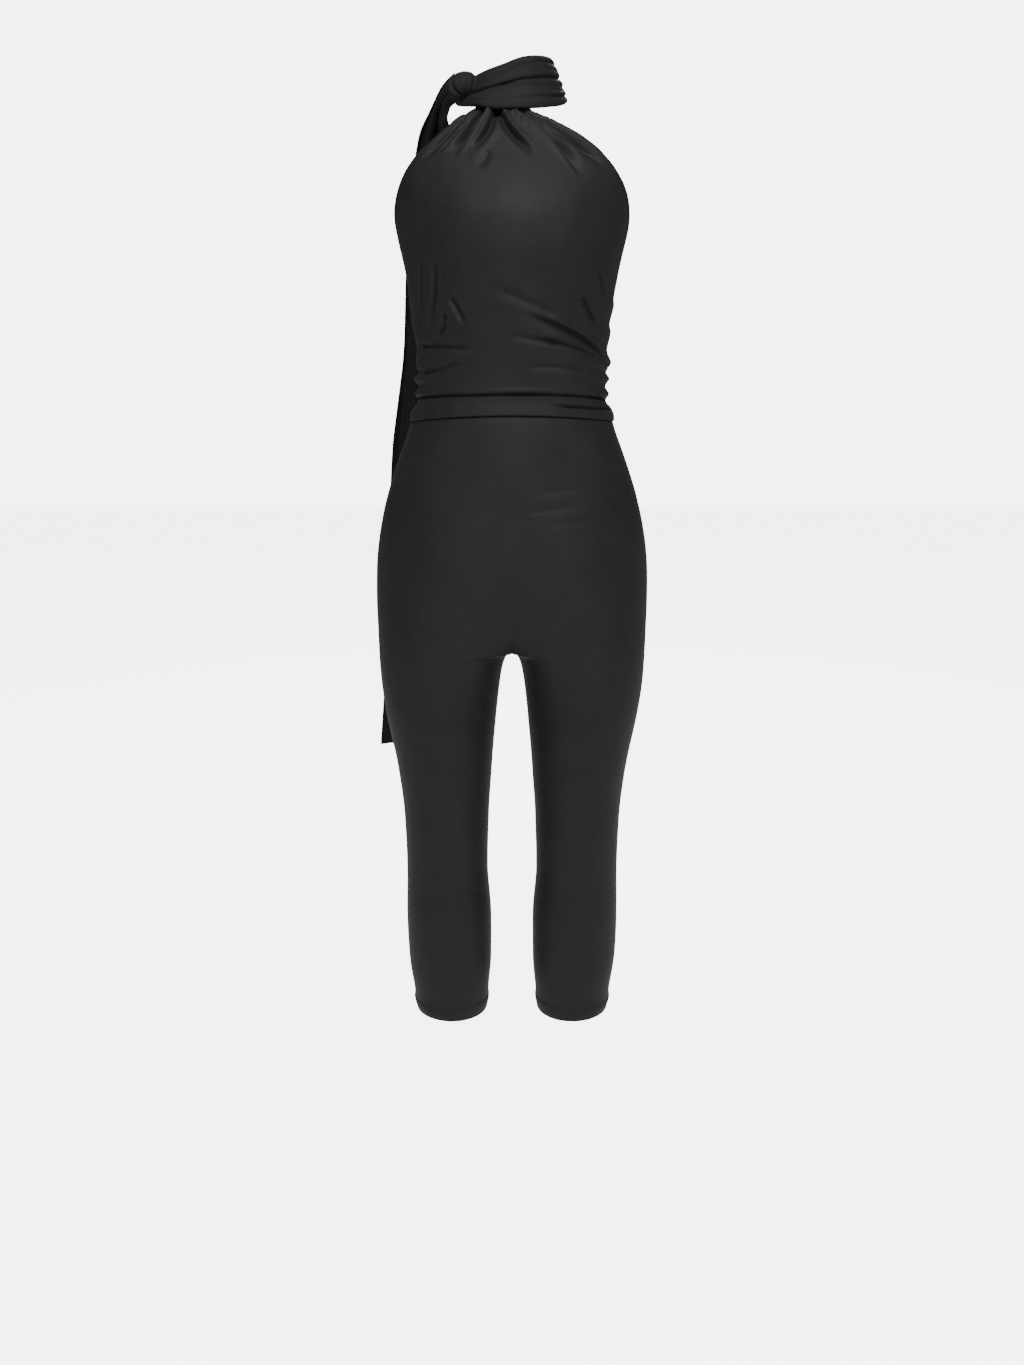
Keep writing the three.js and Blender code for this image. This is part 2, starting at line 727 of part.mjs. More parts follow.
// The hanging end, its long folds waving across its width
function tailStrip() {
  const length = TAIL[TAIL.length - 1].along;
  const smooth = [];
  for (let row = 0; row < TAIL_ROWS; row += 1) {
    const share = row / (TAIL_ROWS - 1);
    const cut = tailAt(length * (TAIL_EVEN_SHARE * share + (1 - TAIL_EVEN_SHARE) * share * share));
    const innerEdge = new THREE.Vector3(cut.innerX, cut.innerY, cut.innerZ);
    const outerEdge = new THREE.Vector3(cut.outerX, cut.outerY, cut.outerZ);
    const line = [];
    for (let column = 0; column < TAIL_COLUMNS; column += 1) {
      line.push(new THREE.Vector3().lerpVectors(innerEdge, outerEdge, column / (TAIL_COLUMNS - 1)));
    }
    smooth.push({ line, wave: cut.wave });
  }
  const base = smooth.map(({ line }) => line);
  const waveAt = (row, column) =>
    smooth[row].wave * Math.sin((column / (TAIL_COLUMNS - 1)) * TAIL_FOLDS * 2 * Math.PI);
  const outer = movedAlong(base, gridNormals(base, false), waveAt);
  const inner = movedAlong(outer, gridNormals(outer, false), () => -TAIL_WALL);
  return wallGeometry(outer, inner, false);
}

const wasm = await Module();
wasm.setup();

function toSolid(geometry) {
  const bare = geometry.clone();
  bare.deleteAttribute('normal');
  bare.deleteAttribute('uv');
  const merged = mergeVertices(bare, 1e-4);
  return new wasm.Manifold(
    new wasm.Mesh({
      numProp: 3,
      vertProperties: new Float32Array(merged.attributes.position.array),
      triVerts: new Uint32Array(merged.index.array),
    }),
  );
}

function toGeometry(solid) {
  const mesh = solid.getMesh();
  const geometry = new THREE.BufferGeometry();
  geometry.setAttribute('position', new THREE.Float32BufferAttribute(mesh.vertProperties, 3));
  geometry.setIndex(new THREE.Uint32BufferAttribute(mesh.triVerts, 1));
  geometry.computeVertexNormals();
  return geometry;
}

// The knot lies against the scarf, and the hanging end against both
function knotGeometry() {
  const scarf = toSolid(scarfGeometry(LAID_GAP, KNOT_SIDE));
  return toGeometry(toSolid(knotLump(0)).subtract(scarf));
}

function tailGeometry() {
  const clear = toSolid(knotLump(LAID_GAP)).add(toSolid(scarfGeometry(LAID_GAP, KNOT_SIDE)));
  return toGeometry(toSolid(tailStrip()).subtract(clear));
}

function clothMesh(name, geometry, finish) {
  const mesh = new THREE.Mesh(geometry, new THREE.MeshStandardMaterial(finish));
  mesh.name = name;
  return mesh;
}

const jumpsuit = new THREE.Group();
jumpsuit.name = 'jumpsuit';
jumpsuit.add(clothMesh('bodice_front', bodiceFront(), BLACK_JERSEY));
jumpsuit.add(clothMesh('back_waist', backWaist(), BLACK_JERSEY));
for (const [side, left] of [['left', true], ['right', false]]) {
  jumpsuit.add(clothMesh(`trouser_front_${side}`, trouserPanel(true, left), BLACK_JERSEY));
  jumpsuit.add(clothMesh(`trouser_back_${side}`, trouserPanel(false, left), BLACK_JERSEY));
}
jumpsuit.add(clothMesh('neck_scarf', scarfGeometry(0, SCARF_WALL), BLACK_SCARF));
jumpsuit.add(clothMesh('neck_knot', knotGeometry(), BLACK_SCARF));
jumpsuit.add(clothMesh('neck_tail', tailGeometry(), BLACK_SCARF));

export default jumpsuit;
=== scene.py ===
# Halter-neck jumpsuit of soft black stretch jersey, capri length, in its worn, hollow form.
# Tables are in millimetres, in the solids' frame: +Z up, +X the wearer's left, -Y the front.
import math

import bpy
import numpy as np
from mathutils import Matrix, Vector


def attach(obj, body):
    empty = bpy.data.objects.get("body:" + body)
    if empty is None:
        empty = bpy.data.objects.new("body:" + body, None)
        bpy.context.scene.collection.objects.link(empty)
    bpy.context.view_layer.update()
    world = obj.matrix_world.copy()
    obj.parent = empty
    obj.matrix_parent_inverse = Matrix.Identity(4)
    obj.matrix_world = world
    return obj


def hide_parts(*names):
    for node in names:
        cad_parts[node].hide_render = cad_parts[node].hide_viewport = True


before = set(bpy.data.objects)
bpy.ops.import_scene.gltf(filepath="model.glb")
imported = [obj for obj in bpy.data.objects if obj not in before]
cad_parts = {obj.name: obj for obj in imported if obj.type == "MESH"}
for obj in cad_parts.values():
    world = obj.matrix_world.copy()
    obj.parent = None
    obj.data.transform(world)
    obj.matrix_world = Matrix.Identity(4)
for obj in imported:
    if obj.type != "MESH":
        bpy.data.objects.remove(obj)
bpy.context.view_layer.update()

MM = 0.001

# The photograph's viewpoint
CAMERA_PLACE = (0, -1.46, -0.37)
CAMERA_DIP = 12.5
CAMERA_LENS = 30.86

# Cloth, as thick as the solids' walls
JERSEY = 1.4
HEM_WALL = 2.2
SCARF_WALL = 3
TAIL_WALL = 1.6
SEAM_GAP = 0.04

# Heights that shape the cut
ARMHOLE_END = -227
BLOUSE_START = -300
BODICE_EDGE = -367
BODICE_EDGE_RISE = 6
CROTCH = -650
HEM_FOLD = -1127
HEM_EDGE = -1144
HEM_SIDE_RISE = 1
FLOOR = -1420

# The side seam, in degrees from the centre front, and how far the back's upper edge dips
SIDE_SEAM = 104
BACK_DIP = 20

# Angles between which the side gathers come in and die away, and the folds of each side end
GATHERS_IN = (40, 82)
GATHERS_OUT = (118, 165)
FRONT_FOLDS_OUT = (84, 100)
BACK_FOLDS_IN = (104, 125)

# Grid sizes
FRONT_COLUMNS = 230
BACK_COLUMNS = 140
LEG_COLUMNS = 64
SECTION_STEPS = 240
SCARF_COLUMNS = 320
SCARF_RINGS = 64
TAIL_COLUMNS = 96
TAIL_ROWS = 230
KNOT_COLUMNS = 132
KNOT_ROWS = 84


def table(names, *rows):
    values = np.array(rows, float)
    return {name: values[:, place] for place, name in enumerate(names.split())}


# The figure inside the bodice: half width, middle, front and back of each level section
BODY = table(
    "height half middle front back",
    (-12, 56, -10, -57, 40),
    (-26, 61, -14, -62, 50),
    (-34, 88, -18, -65, 56),
    (-42, 118, -12, -69, 62),
    (-61, 138, -2, -79, 74),
    (-81, 147, 3, -90, 84),
    (-100, 148, 5, -101, 90),
    (-120, 143, 5, -111, 95),
    (-148, 137, 4, -120, 98),
    (-181, 129.5, 3, -120, 98),
    (-204, 125, 2, -115, 94),
    (-227, 121.5, 2, -109, 89),
    (-250, 118, 1, -103, 84),
    (-275, 115.5, 0, -97, 80),
    (-299, 114.5, 0, -92, 76),
    (-318, 114, -1, -89, 75),
    (-344, 115, -3, -87.5, 75),
    (-359, 121, -4, -88.5, 78),
    (-368, 124, -4, -89, 80),
)

# The front panel's free edges, in degrees from the centre front
ARMHOLE = table(
    "height right left",
    (-12, 42, 14),
    (-26, 41, 15),
    (-34, 34.5, 17),
    (-42, 33, 22),
    (-61, 38.5, 35.5),
    (-81, 48, 46),
    (-100, 57, 56),
    (-120, 67.5, 67.5),
    (-148, 83, 83),
    (-181, 95, 95),
    (-204, 100, 100),
    (ARMHOLE_END, SIDE_SEAM, SIDE_SEAM),
    (-400, SIDE_SEAM, SIDE_SEAM),
)

# Gathers along the side seams: how far the cloth stands out at each height
SIDE_GATHERS = table(
    "height right left",
    (-204, 0, 0),
    (-225, 0.8, -0.4),
    (-234, 1.6, 1.2),
    (-244, 1.8, 0.2),
    (-254, 2, -0.8),
    (-265, 1, 1.6),
    (-275, -0.2, 0.4),
    (-284, -1.2, -1),
    (-292, -0.2, 1.5),
    (-299, 1, 4),
    (-305, 0, 1.2),
    (-311, -1.8, -1.6),
    (-318, 3.6, 2.8),
    (-327, -1.2, -1.6),
    (-335, 1.8, 2.2),
    (-344, -0.6, -1.4),
    (-352, 1, 1.6),
    (-359, 1.6, 2.2),
    (-368, 0, 0),
)

# Folds are places seen from the front: start, middle and end as across and height, then the
# depth into the cloth, the width, the lean (one flank steeper than the other) and open, which
# is 1 where the fold keeps its full depth at its start.
FOLD_NAMES = "x1 z1 x2 z2 x3 z3 depth width lean open"

NECK_PLEATS = table(
    FOLD_NAMES,
    (-40, -26, -71, -58, -102, -86, 4.2, 4.6, 0.2, 1),
    (-44, -38, -67, -64, -84, -80, 2.0, 3.2, 0, 0),
    (-31, -26, -46, -52, -65, -84, 7.4, 5.2, -0.25, 1),
    (-18, -26, -26, -52, -44, -78, 6.2, 4.4, 0.3, 1),
    (-25, -78, -30, -88, -36, -100, 1.8, 6, 0, 0),
    (-17, -26, -3, -53, 26, -84, 6.2, 4.6, -0.3, 1),
    (4, -26, 42, -59, 78, -108, 6.0, 5.2, 0.3, 1),
    (14, -27, 62, -62, 104, -92, 6.2, 6.4, 0.1, 1),
)

WAIST_FOLDS = table(
    FOLD_NAMES,
    (-105, -188, -105, -228, -110, -276, 4.4, 4.6, 0, 0),
    (-86, -196, -88, -233, -97, -272, 6.4, 4.4, -0.25, 0),
    (-76, -249, -78, -265, -88, -281, 5.2, 3.4, -0.3, 0),
    (-70, -232, -62, -246, -52, -265, 3.2, 3.6, 0, 0),
    (-104, -283, -75, -286, -38, -290, 2.8, 3.6, 0.2, 1),
    (-104, -314, -79, -309, -46, -302, 2.4, 3.8, 0.2, 1),
    (114, -302, 62, -267, 6, -249, 5.0, 4.8, 0.4, 1),
    (52, -253, 14, -238, -34, -220, 2.0, 7, 0, 0),
    (108, -299, 60, -283, 18, -276, 3.0, 3.6, 0.2, 1),
    (60, -284, 26, -279, -12, -272, 1.6, 4.4, 0, 0),
    (97, -198, 103, -216, 109, -240, 4.4, 4.4, 0, 0),
    (80, -229, 89, -247, 103, -266, 4.8, 4.2, -0.3, 0),
    (90, -313, 50, -308, 14, -308, 2.0, 4.4, 0, 0),
    (-116, -341, -40, -340, 46, -339, 3.0, 2.4, 0.3, 1),
    (116, -343, 60, -340, -24, -339, 2.9, 2.4, -0.3, 1),
    (118, -355, 80, -353, 40, -351, 2.8, 2.4, -0.25, 1),
)

BACK_FOLDS = table(
    FOLD_NAMES,
    (-112, -282, -50, -290, 20, -286, 1.8, 7, 0.2, 0),
    (-20, -308, 50, -312, 112, -300, 2, 7, -0.2, 0),
    (-112, -318, -60, -322, -10, -320, 1.6, 6, 0.2, 0),
    (-112, -340, 0, -337, 112, -341, 2.4, 5, 0.3, 0),
    (30, -268, 70, -272, 112, -262, 1.1, 5, 0, 0),
    (-60, -352, -20, -350, 40, -353, 1, 4, 0, 0),
)

# Trousers: outer half width, half gap between the legs, middle of the leg, front and back.
# Parting is 0 where the two sides run on into each other and 1 where the legs are apart.
# Power is 2 where the inner half of a section is round, and more where it is squarer.
TROUSERS = table(
    "height outer gap centre parting front back power",
    (-338, 106, 0, 0, 0, -79, 67.5, 2),
    (-352, 111.5, 0, 0, 0, -82, 71.5, 2),
    (-366, 121.4, 0, 0, 0, -86, 77.6, 2),
    (-379, 125.8, 0, 0, 0, -87.5, 83, 2),
    (-404, 135.5, 0, 1, 0, -89, 91, 2),
    (-440, 149, 0, 5, 0, -90, 101, 2),
    (-490, 162.5, 0, 16, 0, -92, 112, 2),
    (-545, 170.3, 0, 34, 0, -94, 120, 2.1),
    (-590, 171, 0, 55, 0.03, -93.5, 120, 2.4),
    (-616, 170.2, 0, 68, 0.1, -92, 115, 2.9),
    (-634, 169.7, 0, 76, 0.25, -90.5, 109, 3.4),
    (-644, 169.2, 0, 80.5, 0.46, -89.5, 105, 3.6),
    (CROTCH, 169, 0, 83.5, 1, -89, 102, 3.6),
    (-651, 169, 1.8, 83.9, 1, -88.9, 101.6, 3.6),
    (-652.5, 168.9, 3.3, 84.3, 1, -88.8, 101.2, 3.6),
    (-655, 168.8, 5.2, 84.9, 1, -88.5, 100.6, 3.6),
    (-659, 168.6, 7.5, 85.7, 1, -88.1, 99.6, 3.55),
    (-665, 168.3, 10, 86.9, 1, -87.7, 98, 3.4),
    (-673, 167.8, 12.3, 88.4, 1, -87, 96, 3.15),
    (-690, 166.6, 15.2, 90.4, 1, -86, 93, 2.65),
    (-730, 161.2, 19.8, 90.5, 1, -82, 86, 2.15),
    (-800, 147.4, 25.8, 87, 1, -73, 72, 2),
    (-870, 139.8, 30.2, 85.4, 1, -64, 58, 2),
    (-940, 138.2, 32, 85, 1, -57, 55, 2),
    (-1010, 140.2, 27.6, 83.7, 1, -52, 62, 2),
    (-1070, 138.8, 28, 83.2, 1, -49, 64, 2),
    (HEM_FOLD + 1, 131.7, 32, 82, 1, -45, 58, 2),
    (HEM_FOLD - 1, 132.1, 31.6, 82, 1, -45, 58, 2),
    (HEM_EDGE, 128.4, 34.6, 82, 1, -43, 54, 2),
)

# Creases of the trousers' front and back, as places seen from the front
TROUSER_CREASES = table(
    FOLD_NAMES,
    (27, -450, 58, -447, 100, -442, 0.6, 4.2, 0, 0),
    (14, -472, 50, -469, 96, -463, 0.75, 4.6, 0.2, 0),
    (40, -488, 68, -485, 100, -479, 0.5, 4.2, 0, 0),
    (-116, -441, -96, -444, -70, -448, 0.3, 4.4, 0, 0),
    (-74, -950, -53, -959, -36, -979, 1.1, 4.4, 0, 0),
    (-60, -968, -48, -975, -38, -990, 0.6, 4, 0, 0),
    (76, -957, 90, -970, 101, -986, 0.9, 4.4, 0, 0),
    (-5, -640, -18, -631, -40, -622, 0.6, 4, 0, 0),
    (4, -638, 17, -631, 36, -627, 0.6, 4, 0, 0),
    (-8, -622, -26, -612, -58, -604, 0.45, 5, 0, 0),
)

TROUSER_BACK_CREASES = table(
    FOLD_NAMES,
    (-20, -672, -70, -690, -128, -668, 1, 6, 0.2, 0),
    (20, -668, 66, -686, 124, -671, 1, 6, 0.2, 0),
    (-34, -700, -72, -708, -112, -698, 0.6, 5, 0, 0),
    (42, -704, 80, -710, 118, -699, 0.6, 5, 0, 0),
    (-48, -905, -84, -912, -124, -902, 1.3, 4.5, 0.2, 0),
    (-44, -924, -80, -920, -118, -927, 1.1, 4.2, 0, 0),
    (-52, -942, -86, -946, -122, -938, 1, 4.5, 0, 0),
    (46, -903, 82, -909, 122, -906, 1.3, 4.5, 0.2, 0),
    (52, -921, 84, -926, 126, -920, 1.1, 4.2, 0, 0),
    (44, -944, 80, -940, 118, -945, 1, 4.5, 0, 0),
    (-90, -404, -40, -410, 10, -407, 0.8, 5, 0, 0),
    (20, -420, 60, -424, 104, -416, 0.7, 5, 0, 0),
)

# The wound scarf by angle from the centre front towards the wearer's left:
# height and distance of its lower and upper edge, and how high up four creases lie
SCARF = table(
    "angle low_height low_reach top_height top_reach first second third fourth",
    (-60, -18, 69, 8, 54, 0.1, 0.16, 0.24, 0.42),
    (-35, -26, 71, 12, 54, 0.12, 0.26, 0.39, 0.66),
    (-12, -31, 69, 17, 52, 0.17, 0.37, 0.52, 0.8),
    (15, -30, 68, 25, 51, 0.18, 0.4, 0.55, 0.86),
    (45, -24, 67, 30, 48, 0.16, 0.38, 0.56, 0.87),
    (90, -9, 63, 35, 45.5, 0.14, 0.34, 0.54, 0.84),
    (135, 0, 60, 38, 48, 0.18, 0.38, 0.56, 0.8),
    (180, 2, 59, 36, 51, 0.2, 0.4, 0.6, 0.8),
    (225, -3, 60, 27, 52, 0.2, 0.4, 0.6, 0.8),
    (270, -12, 64, 15, 53, 0.18, 0.36, 0.54, 0.72),
    (300, -18, 69, 8, 54, 0.1, 0.16, 0.24, 0.42),
)
SCARF_ROLL = 1.9

# The knot: a soft lump of folded cloth at the wearer's right of the neck
KNOT = {"x": -55, "y": -39, "z": -3.2, "across": 19.2, "deep": 13.5, "tall": 15.4, "lean": -18}

# The hanging end: its outer and inner long edges, and how deep its folds wave
TAIL = table(
    "along outer_x outer_y outer_z inner_x inner_y inner_z wave",
    (0, -65, -33, 13, -56, -38, -14, 1.5),
    (20, -79, -11, 6, -73, -12, -20, 2.5),
    (48, -96, 20, -13, -76, 20, -23, 3.5),
    (80, -111, 48, -33, -72, 50, -34, 4),
    (125, -121, 76, -70, -70, 78, -68, 4.5),
    (180, -128, 96, -120, -68, 98, -120, 5),
    (245, -135, 110, -178, -66, 111, -178, 5.5),
    (345, -141, 118, -277, -66, 118, -277, 6),
    (410, -150, 121, -341, -67, 121, -341, 6),
    (475, -159, 124, -405, -68, 124, -405, 6),
    (660, -170, 131, -590, -68, 133, -590, 5),
    (800, -178, 133, -731, -68, 134, -731, 4.5),
    (878, -185, 133, -812, -72, 134, -801, 4),
)
TAIL_FOLDS = 2.5
TAIL_EVEN_SHARE = 0.7


def gentle_slopes(knots, values):
    """Slopes that are flat at peaks and the harmonic mean elsewhere, as the solids have."""
    rises = np.diff(values) / np.diff(knots)
    before, after = rises[:-1], rises[1:]
    total = np.where(np.abs(before + after) < 1e-12, 1, before + after)
    inside = np.where(before * after <= 0, 0, 2 * before * after / total)
    return np.concatenate([rises[:1], inside, rises[-1:]])


def curve(t, start, leave, end, arrive):
    """A cubic curve from start to end, with its slopes at both."""
    return (
        (2 * t**3 - 3 * t**2 + 1) * start
        + (t**3 - 2 * t**2 + t) * leave
        + (3 * t**2 - 2 * t**3) * end
        + (t**3 - t**2) * arrive
    )


def smooth(source, key, place):
    """All columns of a table at each place, on smooth curves that never swing past its rows."""
    order = np.argsort(source[key])
    knots = source[key][order]
    inside = np.clip(place, knots[0], knots[-1])
    span = np.clip(np.searchsorted(knots, inside, side="right") - 1, 0, len(knots) - 2)
    width = knots[span + 1] - knots[span]
    t = (inside - knots[span]) / width
    found = {key: np.asarray(place, float)}
    for name, column in source.items():
        if name == key:
            continue
        values = column[order]
        slopes = gentle_slopes(knots, values)
        leave, arrive = slopes[span] * width, slopes[span + 1] * width
        found[name] = curve(t, values[span], leave, values[span + 1], arrive)
    return found


def smooth_step(low, high, value):
    share = np.clip((value - low) / (high - low), 0, 1)
    return share * share * (3 - 2 * share)


def softened(source, names, evening, window):
    """The table, closely spaced, with the named columns evened out along the height, so that
    light runs over them without bands. Window is where that comes in and dies away."""
    places = np.arange(source["height"].min(), source["height"].max() + 0.5, 1.0)
    found = smooth(source, "height", places)
    reach = int(3 * evening)
    weights = np.exp(-((np.arange(-reach, reach + 1) / evening) ** 2) / 2)
    weights /= weights.sum()
    start, full, fading, end = window
    share = smooth_step(start, full, -places) * (1 - smooth_step(fading, end, -places))
    for name in names:
        padded = np.pad(found[name], reach, mode="reflect", reflect_type="odd")
        even = np.convolve(padded, weights, "valid")
        found[name] = found[name] * (1 - share) + even * share
    return found


# How far up and down the sections are evened out, and the depths below the origin between
# which that comes in and dies away
BODY_EVENING = 11
BODY_EVENED = (70, 105, 325, 345)
TROUSERS_EVENING = 14
TROUSERS_EVENED = (385, 430, 1085, 1115)

BODY = softened(BODY, ("half", "middle", "front", "back"), BODY_EVENING, BODY_EVENED)
TROUSERS = softened(
    TROUSERS, ("outer", "centre", "front", "back"), TROUSERS_EVENING, TROUSERS_EVENED
)


def unit(vectors):
    return vectors / np.maximum(np.linalg.norm(vectors, axis=-1, keepdims=True), 1e-12)


def grid_normals(grid, closed=False):
    """The outward direction at each point of a grid with rows running down, columns round."""
    down = np.gradient(grid, axis=0)
    if closed:
        along = np.roll(grid, -1, axis=1) - np.roll(grid, 1, axis=1)
    else:
        along = np.gradient(grid, axis=1)
    return unit(np.cross(down, along))


# A fold's shape across, and the shares of its length over which it comes in and dies away
CREASE_SHOULDER = 0.75
CREASE_SPREAD = 1.6
CREASE_REACH = 3
SLIT_SHARE = 0.4
SLIT_MOST = 1.05
SLIT_WIDTH = 0.3
SLIT_LEAST_WIDTH = 1.3
FOLD_IN = 0.25
FOLD_OUT = 0.6
FOLD_STEPS = 16


def fold_line(places):
    """A smooth line through three places."""
    first, middle, last = (np.array(place, float) for place in places)
    points = []
    for start, end, before, after in ((first, middle, first, last), (middle, last, first, last)):
        leave, arrive = (end - before) / 2, (after - start) / 2
        for t in np.linspace(0, 1, FOLD_STEPS // 2, endpoint=False):
            points.append(curve(t, start, leave, end, arrive))
    points.append(last)
    return np.array(points)


def fold_relief(folds, x, z, place=lambda across, height: (across, height)):
    """The summed effect of a table of folds at each place of the flat-seen cloth: their soft
    troughs, and the slits in them."""
    total = np.zeros(np.shape(x))
    slits = np.zeros(np.shape(x))
    for row in range(len(folds["depth"])):
        fold = {name: column[row] for name, column in folds.items()}
        line = fold_line([place(fold[f"x{end}"], fold[f"z{end}"]) for end in (1, 2, 3)])
        best = np.full(np.shape(x), np.inf)
        share = np.zeros(np.shape(x))
        side = np.zeros(np.shape(x))
        for step in range(len(line) - 1):
            from_x, from_z = line[step]
            along_x, along_z = line[step + 1] - line[step]
            length = along_x**2 + along_z**2
            t = np.clip(((x - from_x) * along_x + (z - from_z) * along_z) / length, 0, 1)
            off_x = x - from_x - t * along_x
            off_z = z - from_z - t * along_z
            distance = np.hypot(off_x, off_z)
            nearer = distance < best
            best = np.where(nearer, distance, best)
            share = np.where(nearer, (step + t) / (len(line) - 1), share)
            side = np.where(nearer, np.sign(along_x * off_z - along_z * off_x), side)
        width = fold["width"] * (1 + fold["lean"] * side)
        reach = (best / width) ** 2
        start = 1 if fold["open"] else smooth_step(0, FOLD_IN, share)
        end = 1 - smooth_step(FOLD_OUT, 1, share)
        shape = -(1 - CREASE_SHOULDER * reach) * np.exp(-reach / CREASE_SPREAD)
        total += fold["depth"] * start * end * shape * (reach < CREASE_REACH**2)
        narrow = max(SLIT_WIDTH * fold["width"], SLIT_LEAST_WIDTH)
        deep = min(SLIT_SHARE * fold["depth"], SLIT_MOST)
        slits -= deep * start * end**2 * np.exp(-((best / narrow) ** 2))
    return total, slits


# Slow unevenness of hung cloth: wave lengths across and up in millimetres, and a phase
RIPPLES = (
    (61, 149, 0.4, 0.30),
    (-43, 97, 2.1, 0.24),
    (29, -71, 4.4, 0.16),
    (-19, -53, 1.3, 0.10),
)


def ripple(x, z):
    total = np.zeros(np.shape(x))
    for across, up, phase, share in RIPPLES:
        total += share * np.sin(2 * math.pi * (x / across + z / up) + phase)
    return total


def make_mesh(name, points, faces, uv, sharp=()):
    mesh = bpy.data.meshes.new(name)
    mesh.from_pydata((points * MM).tolist(), [], faces.tolist())
    layer = mesh.uv_layers.new(name="cloth")
    corners = np.zeros(len(mesh.loops), int)
    mesh.loops.foreach_get("vertex_index", corners)
    layer.data.foreach_set("uv", (uv[corners] * MM).astype(np.float32).ravel())
    mesh.polygons.foreach_set("use_smooth", np.ones(len(mesh.polygons), bool))
    if len(sharp):
        ends = np.zeros(len(mesh.edges) * 2, int)
        mesh.edges.foreach_get("vertices", ends)
        ends = ends.reshape(-1, 2)
        hard = np.zeros(len(mesh.edges), bool)
        for line in sharp:
            on_line = np.zeros(len(points), bool)
            on_line[line] = True
            hard |= on_line[ends[:, 0]] & on_line[ends[:, 1]]
        mesh.edges.foreach_set("use_edge_sharp", hard)
    mesh.validate()
    piece = bpy.data.objects.new(name, mesh)
    bpy.context.collection.objects.link(piece)
    return piece


def grid_faces(rows, columns, closed):
    """The four corners of each face of a grid."""
    spans = columns if closed else columns - 1
    row, column = np.meshgrid(np.arange(rows - 1), np.arange(spans), indexing="ij")
    here = row * columns + column
    after = row * columns + (column + 1) % columns
    return np.stack([here, here + columns, after + columns, after], -1).reshape(-1, 4)


ROUND_RIMS = (0.5, 0.5, 0.5, 0.5)


def shell(name, outer, inner, uv, closed=False, bulge=ROUND_RIMS, seams=False):
    """A closed wall between two grids. Its rims are rounded: bulge is how far the top,
    bottom, first and last rim stands out, as a share of the wall. With seams, the first
    and last edge stay sharp, because a neighbour carries the cloth on."""
    rows, columns = outer.shape[:2]
    outside = grid_faces(rows, columns, closed)
    inside = outside[:, ::-1] + rows * columns
    out, into, plane = outer.reshape(-1, 3), inner.reshape(-1, 3), uv.reshape(-1, 2)
    points, flat, faces = [out, into], [plane, plane], [outside, inside]
    grid = np.arange(rows * columns).reshape(rows, columns)
    if closed:
        rims = [(grid[0], grid[1], bulge[0], False), (grid[-1], grid[-2], bulge[1], True)]
    else:
        border = np.concatenate([grid[0, :-1], grid[:-1, -1], grid[-1, :0:-1], grid[:0:-1, 0]])
        row, column = np.divmod(border, columns)
        within = grid[np.clip(row, 1, rows - 2), np.clip(column, 1, columns - 2)]
        sides = (bulge[0], bulge[3], bulge[1], bulge[2])
        lengths = (columns - 1, rows - 1, columns - 1, rows - 1)
        shares = np.concatenate([np.full(n, share) for share, n in zip(sides, lengths)])
        rims = [(border, within, shares[:, None], False)]
    count = 2 * rows * columns
    for edge, within, shares, flip in rims:
        wall = np.linalg.norm(out[edge] - into[edge], axis=1, keepdims=True)
        off = unit(out[edge] - out[within]) * wall * shares
        points.append((out[edge] + into[edge]) / 2 + off)
        flat.append(plane[edge])
        ridge = count + np.arange(len(edge))
        ridge_after, edge_after = np.roll(ridge, -1), np.roll(edge, -1)
        under, under_after = edge + rows * columns, edge_after + rows * columns
        outer_band = (edge, edge_after, ridge_after, ridge)
        inner_band = (ridge, ridge_after, under_after, under)
        for band in (np.stack(outer_band, -1), np.stack(inner_band, -1)):
            faces.append(band[:, ::-1] if flip else band)
        count += len(edge)
    sharp = ()
    if seams:
        sharp = [grid[:, 0], grid[:, -1], grid[:, 0] + rows * columns, grid[:, -1] + rows * columns]
    return make_mesh(name, *(np.concatenate(parts) for parts in (points, faces, flat)), sharp)


# The bodice, front and back

# Free edges: the hem's width and rise, where its step lies, and its row of stitches
EDGE_HEM = 7
EDGE_HEM_RISE = 0.3
EDGE_HEM_STEP = (EDGE_HEM - 1.2, EDGE_HEM + 0.4)
EDGE_STITCH = 5.2
EDGE_STITCH_DIP = 0.3
EDGE_STITCH_WIDTH = 0.9
EDGE_FLAT = 0.2
EDGE_FADE = (2, 15)

SEAM_DIP = 0.4
CENTRE_SEAM_DIP = 0.05
SEAM_WIDTH = 1.5
SIDE_SEAM_TOP = ARMHOLE_END + 12
UNEVEN = 0.35

# Small gathers sewn into the side seams, between the larger ones, and how their lines wander
FINE_GATHER_PITCH = 5.4
FINE_GATHER_DEPTH = 0.55
FINE_GATHER_LENGTH = 22
FINE_GATHER_TOP = (-215, -250)
FINE_GATHER_FOOT = (-366, -356)
WANDER_UP, WANDER_UP_LENGTH = 1.6, 17
WANDER_ROUND, WANDER_ROUND_LENGTH = 0.6, 6

# Small gathers that fan out from under the scarf
NECK_EDGE = -26
NECK_GATHER_PITCH = 4.8
NECK_GATHER_DEPTH = 0.7
NECK_GATHER_LENGTH = 20
NECK_GATHER_TURN = 60
NECK_GATHER_FAN = 45
NECK_DRIFT, NECK_DRIFT_LENGTH = 1.1, 9


def body_point(height, angle):
    """A point of the figure at a height and an angle from the centre front."""
    body = smooth(BODY, "height", height)
    turn = np.radians(angle)
    forward = np.cos(turn)
    depth = np.where(forward >= 0, body["middle"] - body["front"], body["back"] - body["middle"])
    return np.stack([body["half"] * np.sin(turn), body["middle"] - depth * forward, height], -1)


def bodice_place(across, height):
    """How far round the body a place seen from the front or back lies."""
    half = float(smooth(BODY, "height", np.array([height]))["half"][0])
    return half * math.asin(max(-1, min(1, across / half))), height


